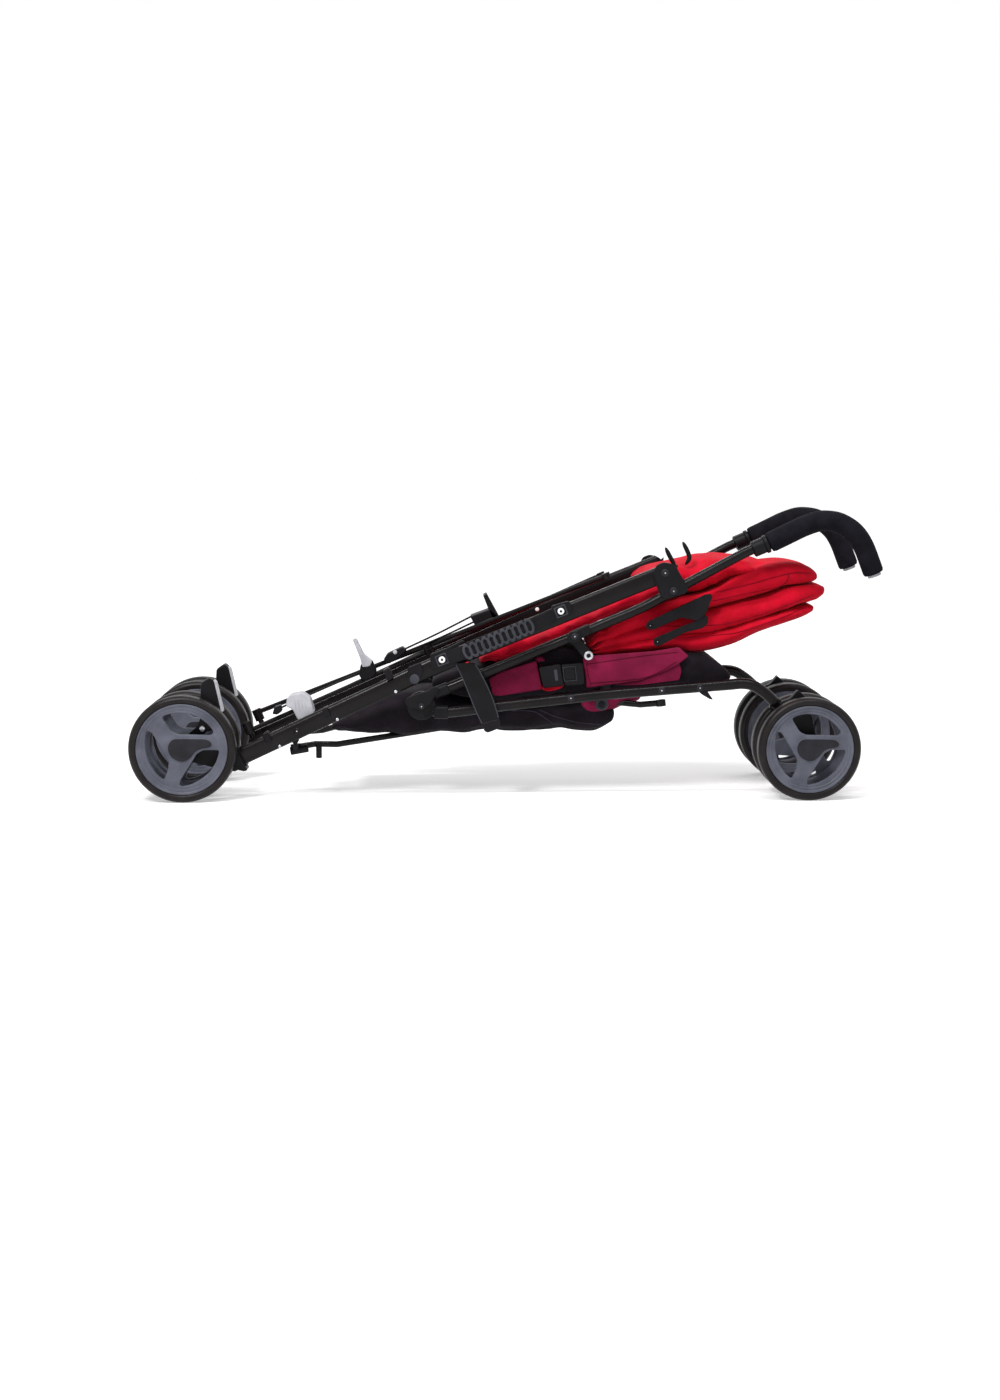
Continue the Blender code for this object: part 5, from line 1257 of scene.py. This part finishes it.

# Basket: black polyester, slung between the lower braces. It bags at the front, where a hem marks a fold and
# a pocket; the violet-grey lines laid along them are painted highlights on these hems.
BASKET_TOP = (
    (-262, 97), (-238, 106), (-210, 119), (-180, 134), (-153, 145), (-120, 149), (-96, 148), (-53, 138),
    (-10, 130), (57, 134), (92, 137), (136, 137), (160, 131),
)
BASKET_LOW = (
    (-256, 91), (-210, 88), (-181, 84), (-153, 80), (-131, 78.5), (-77, 84), (-10, 87), (57, 91.5),
    (77, 91.5), (100, 87), (136, 89), (158, 100),
)
BASKET_HIGHLIGHT_ROUTES = (
    ("fold", ((4, 119.5), (36, 118.5), (54, 109), (64, 101))),
    ("pocket", ((45, 121), (69, 111), (99, 103), (122, 100.5), (138, 100))),
)
# violet-grey lines along the fold and the pocket: painted highlights on these hems
BASKET_HIGHLIGHT_CLOTH = cloth_material("violet-black painted highlight", "2C2632", "3C3542")
sling = leaf(BASKET_TOP, BASKET_LOW, 0.0700, ruffle=0.005, power=3.0, nose=0.06, narrow=0.1, seed=14)
basket = fill_cloth(mesh_piece("basket_sling", sling, BLACK_CLOTH, 0), 0.006)
stretched(basket)
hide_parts("basket_cloth")
find = surface_finder([basket])
for side_name, side in SIDES:
    for name, route in BASKET_HIGHLIGHT_ROUTES:
        laid_line("basket_%s_%s" % (name, side_name), route, side, find, 0.0015, BASKET_HIGHLIGHT_CLOTH)

# Stage: a pale paper sweep that takes the chair's own shadow, a white room, and three soft lamps.
# The paper and the room glow for the rays that show them, so that the picture's background is even and pale.
LAMPS = (
    ("key", (-1.2, -2.0, 2.4), 0.6, 0.6, 58),
    ("strip", (0.0, -0.8, 1.9), 2.4, 0.10, 24),
    ("rim", (0.3, 1.5, 1.7), 1.6, 0.10, 11),
)
LAMP_AIM = Vector((0, 0, 0.2))
FLOOR_HALF = 14.0


def seen_ray(tree):
    """1 for the rays that show the background: the camera's own, mirrored and see-through ones."""
    ray = add_node(tree, "ShaderNodeLightPath").outputs
    shown = add_node(tree, "ShaderNodeMath", operation="MAXIMUM")
    tree.links.new(ray["Is Camera Ray"], shown.inputs[0])
    tree.links.new(ray["Is Transmission Ray"], shown.inputs[1])
    both = add_node(tree, "ShaderNodeMath", operation="MAXIMUM")
    tree.links.new(shown.outputs["Value"], both.inputs[0])
    tree.links.new(ray["Is Glossy Ray"], both.inputs[1])
    return both.outputs["Value"]


def paper_material():
    """Matt white paper that glows a little more further off, so that the floor fades into the room."""
    made, tree, shader, point = new_material("white paper sweep", 0.8, 0.1)
    two_tone(tree, shader, point, 1670, "E6E6E7", "EBEBEC")
    shader.inputs["Emission Color"].default_value = (1, 1, 1, 1)
    reach = add_node(tree, "ShaderNodeVectorMath", {"Vector": point}, operation="LENGTH")
    spread = {"From Min": 0.9, "From Max": 2.6, "To Min": 0.34, "To Max": 0.64}
    level = add_node(tree, "ShaderNodeMapRange", {"Value": reach.outputs["Value"]}, **spread)
    glow = add_node(tree, "ShaderNodeMath", {"Value": seen_ray(tree)}, operation="MULTIPLY")
    tree.links.new(level.outputs["Result"], glow.inputs[1])
    tree.links.new(glow.outputs["Value"], shader.inputs["Emission Strength"])
    return made


bm = bmesh.new()
bmesh.ops.create_grid(bm, x_segments=1, y_segments=1, size=FLOOR_HALF)
mesh_piece("floor", bm, paper_material(), 0)
world = bpy.data.worlds.new("studio")
bpy.context.scene.world = world
world.use_nodes = True
room = world.node_tree
back = room.nodes["Background"]
back.inputs["Color"].default_value = (1, 1, 1, 1)
spread = {"To Min": 0.55, "To Max": 1.0}
level = add_node(room, "ShaderNodeMapRange", {"Value": seen_ray(room)}, **spread)
room.links.new(level.outputs["Result"], back.inputs["Strength"])
for name, place, wide, deep, watts in LAMPS:
    lamp_data = bpy.data.lights.new(name, "AREA")
    lamp_data.shape = "RECTANGLE"
    lamp_data.size = wide
    lamp_data.size_y = deep
    lamp_data.energy = watts
    lamp = bpy.data.objects.new(name, lamp_data)
    bpy.context.scene.collection.objects.link(lamp)
    lamp.location = place
    lamp.rotation_euler = (LAMP_AIM - Vector(place)).to_track_quat("-Z", "Y").to_euler()
bpy.context.scene.view_settings.view_transform = "Standard"
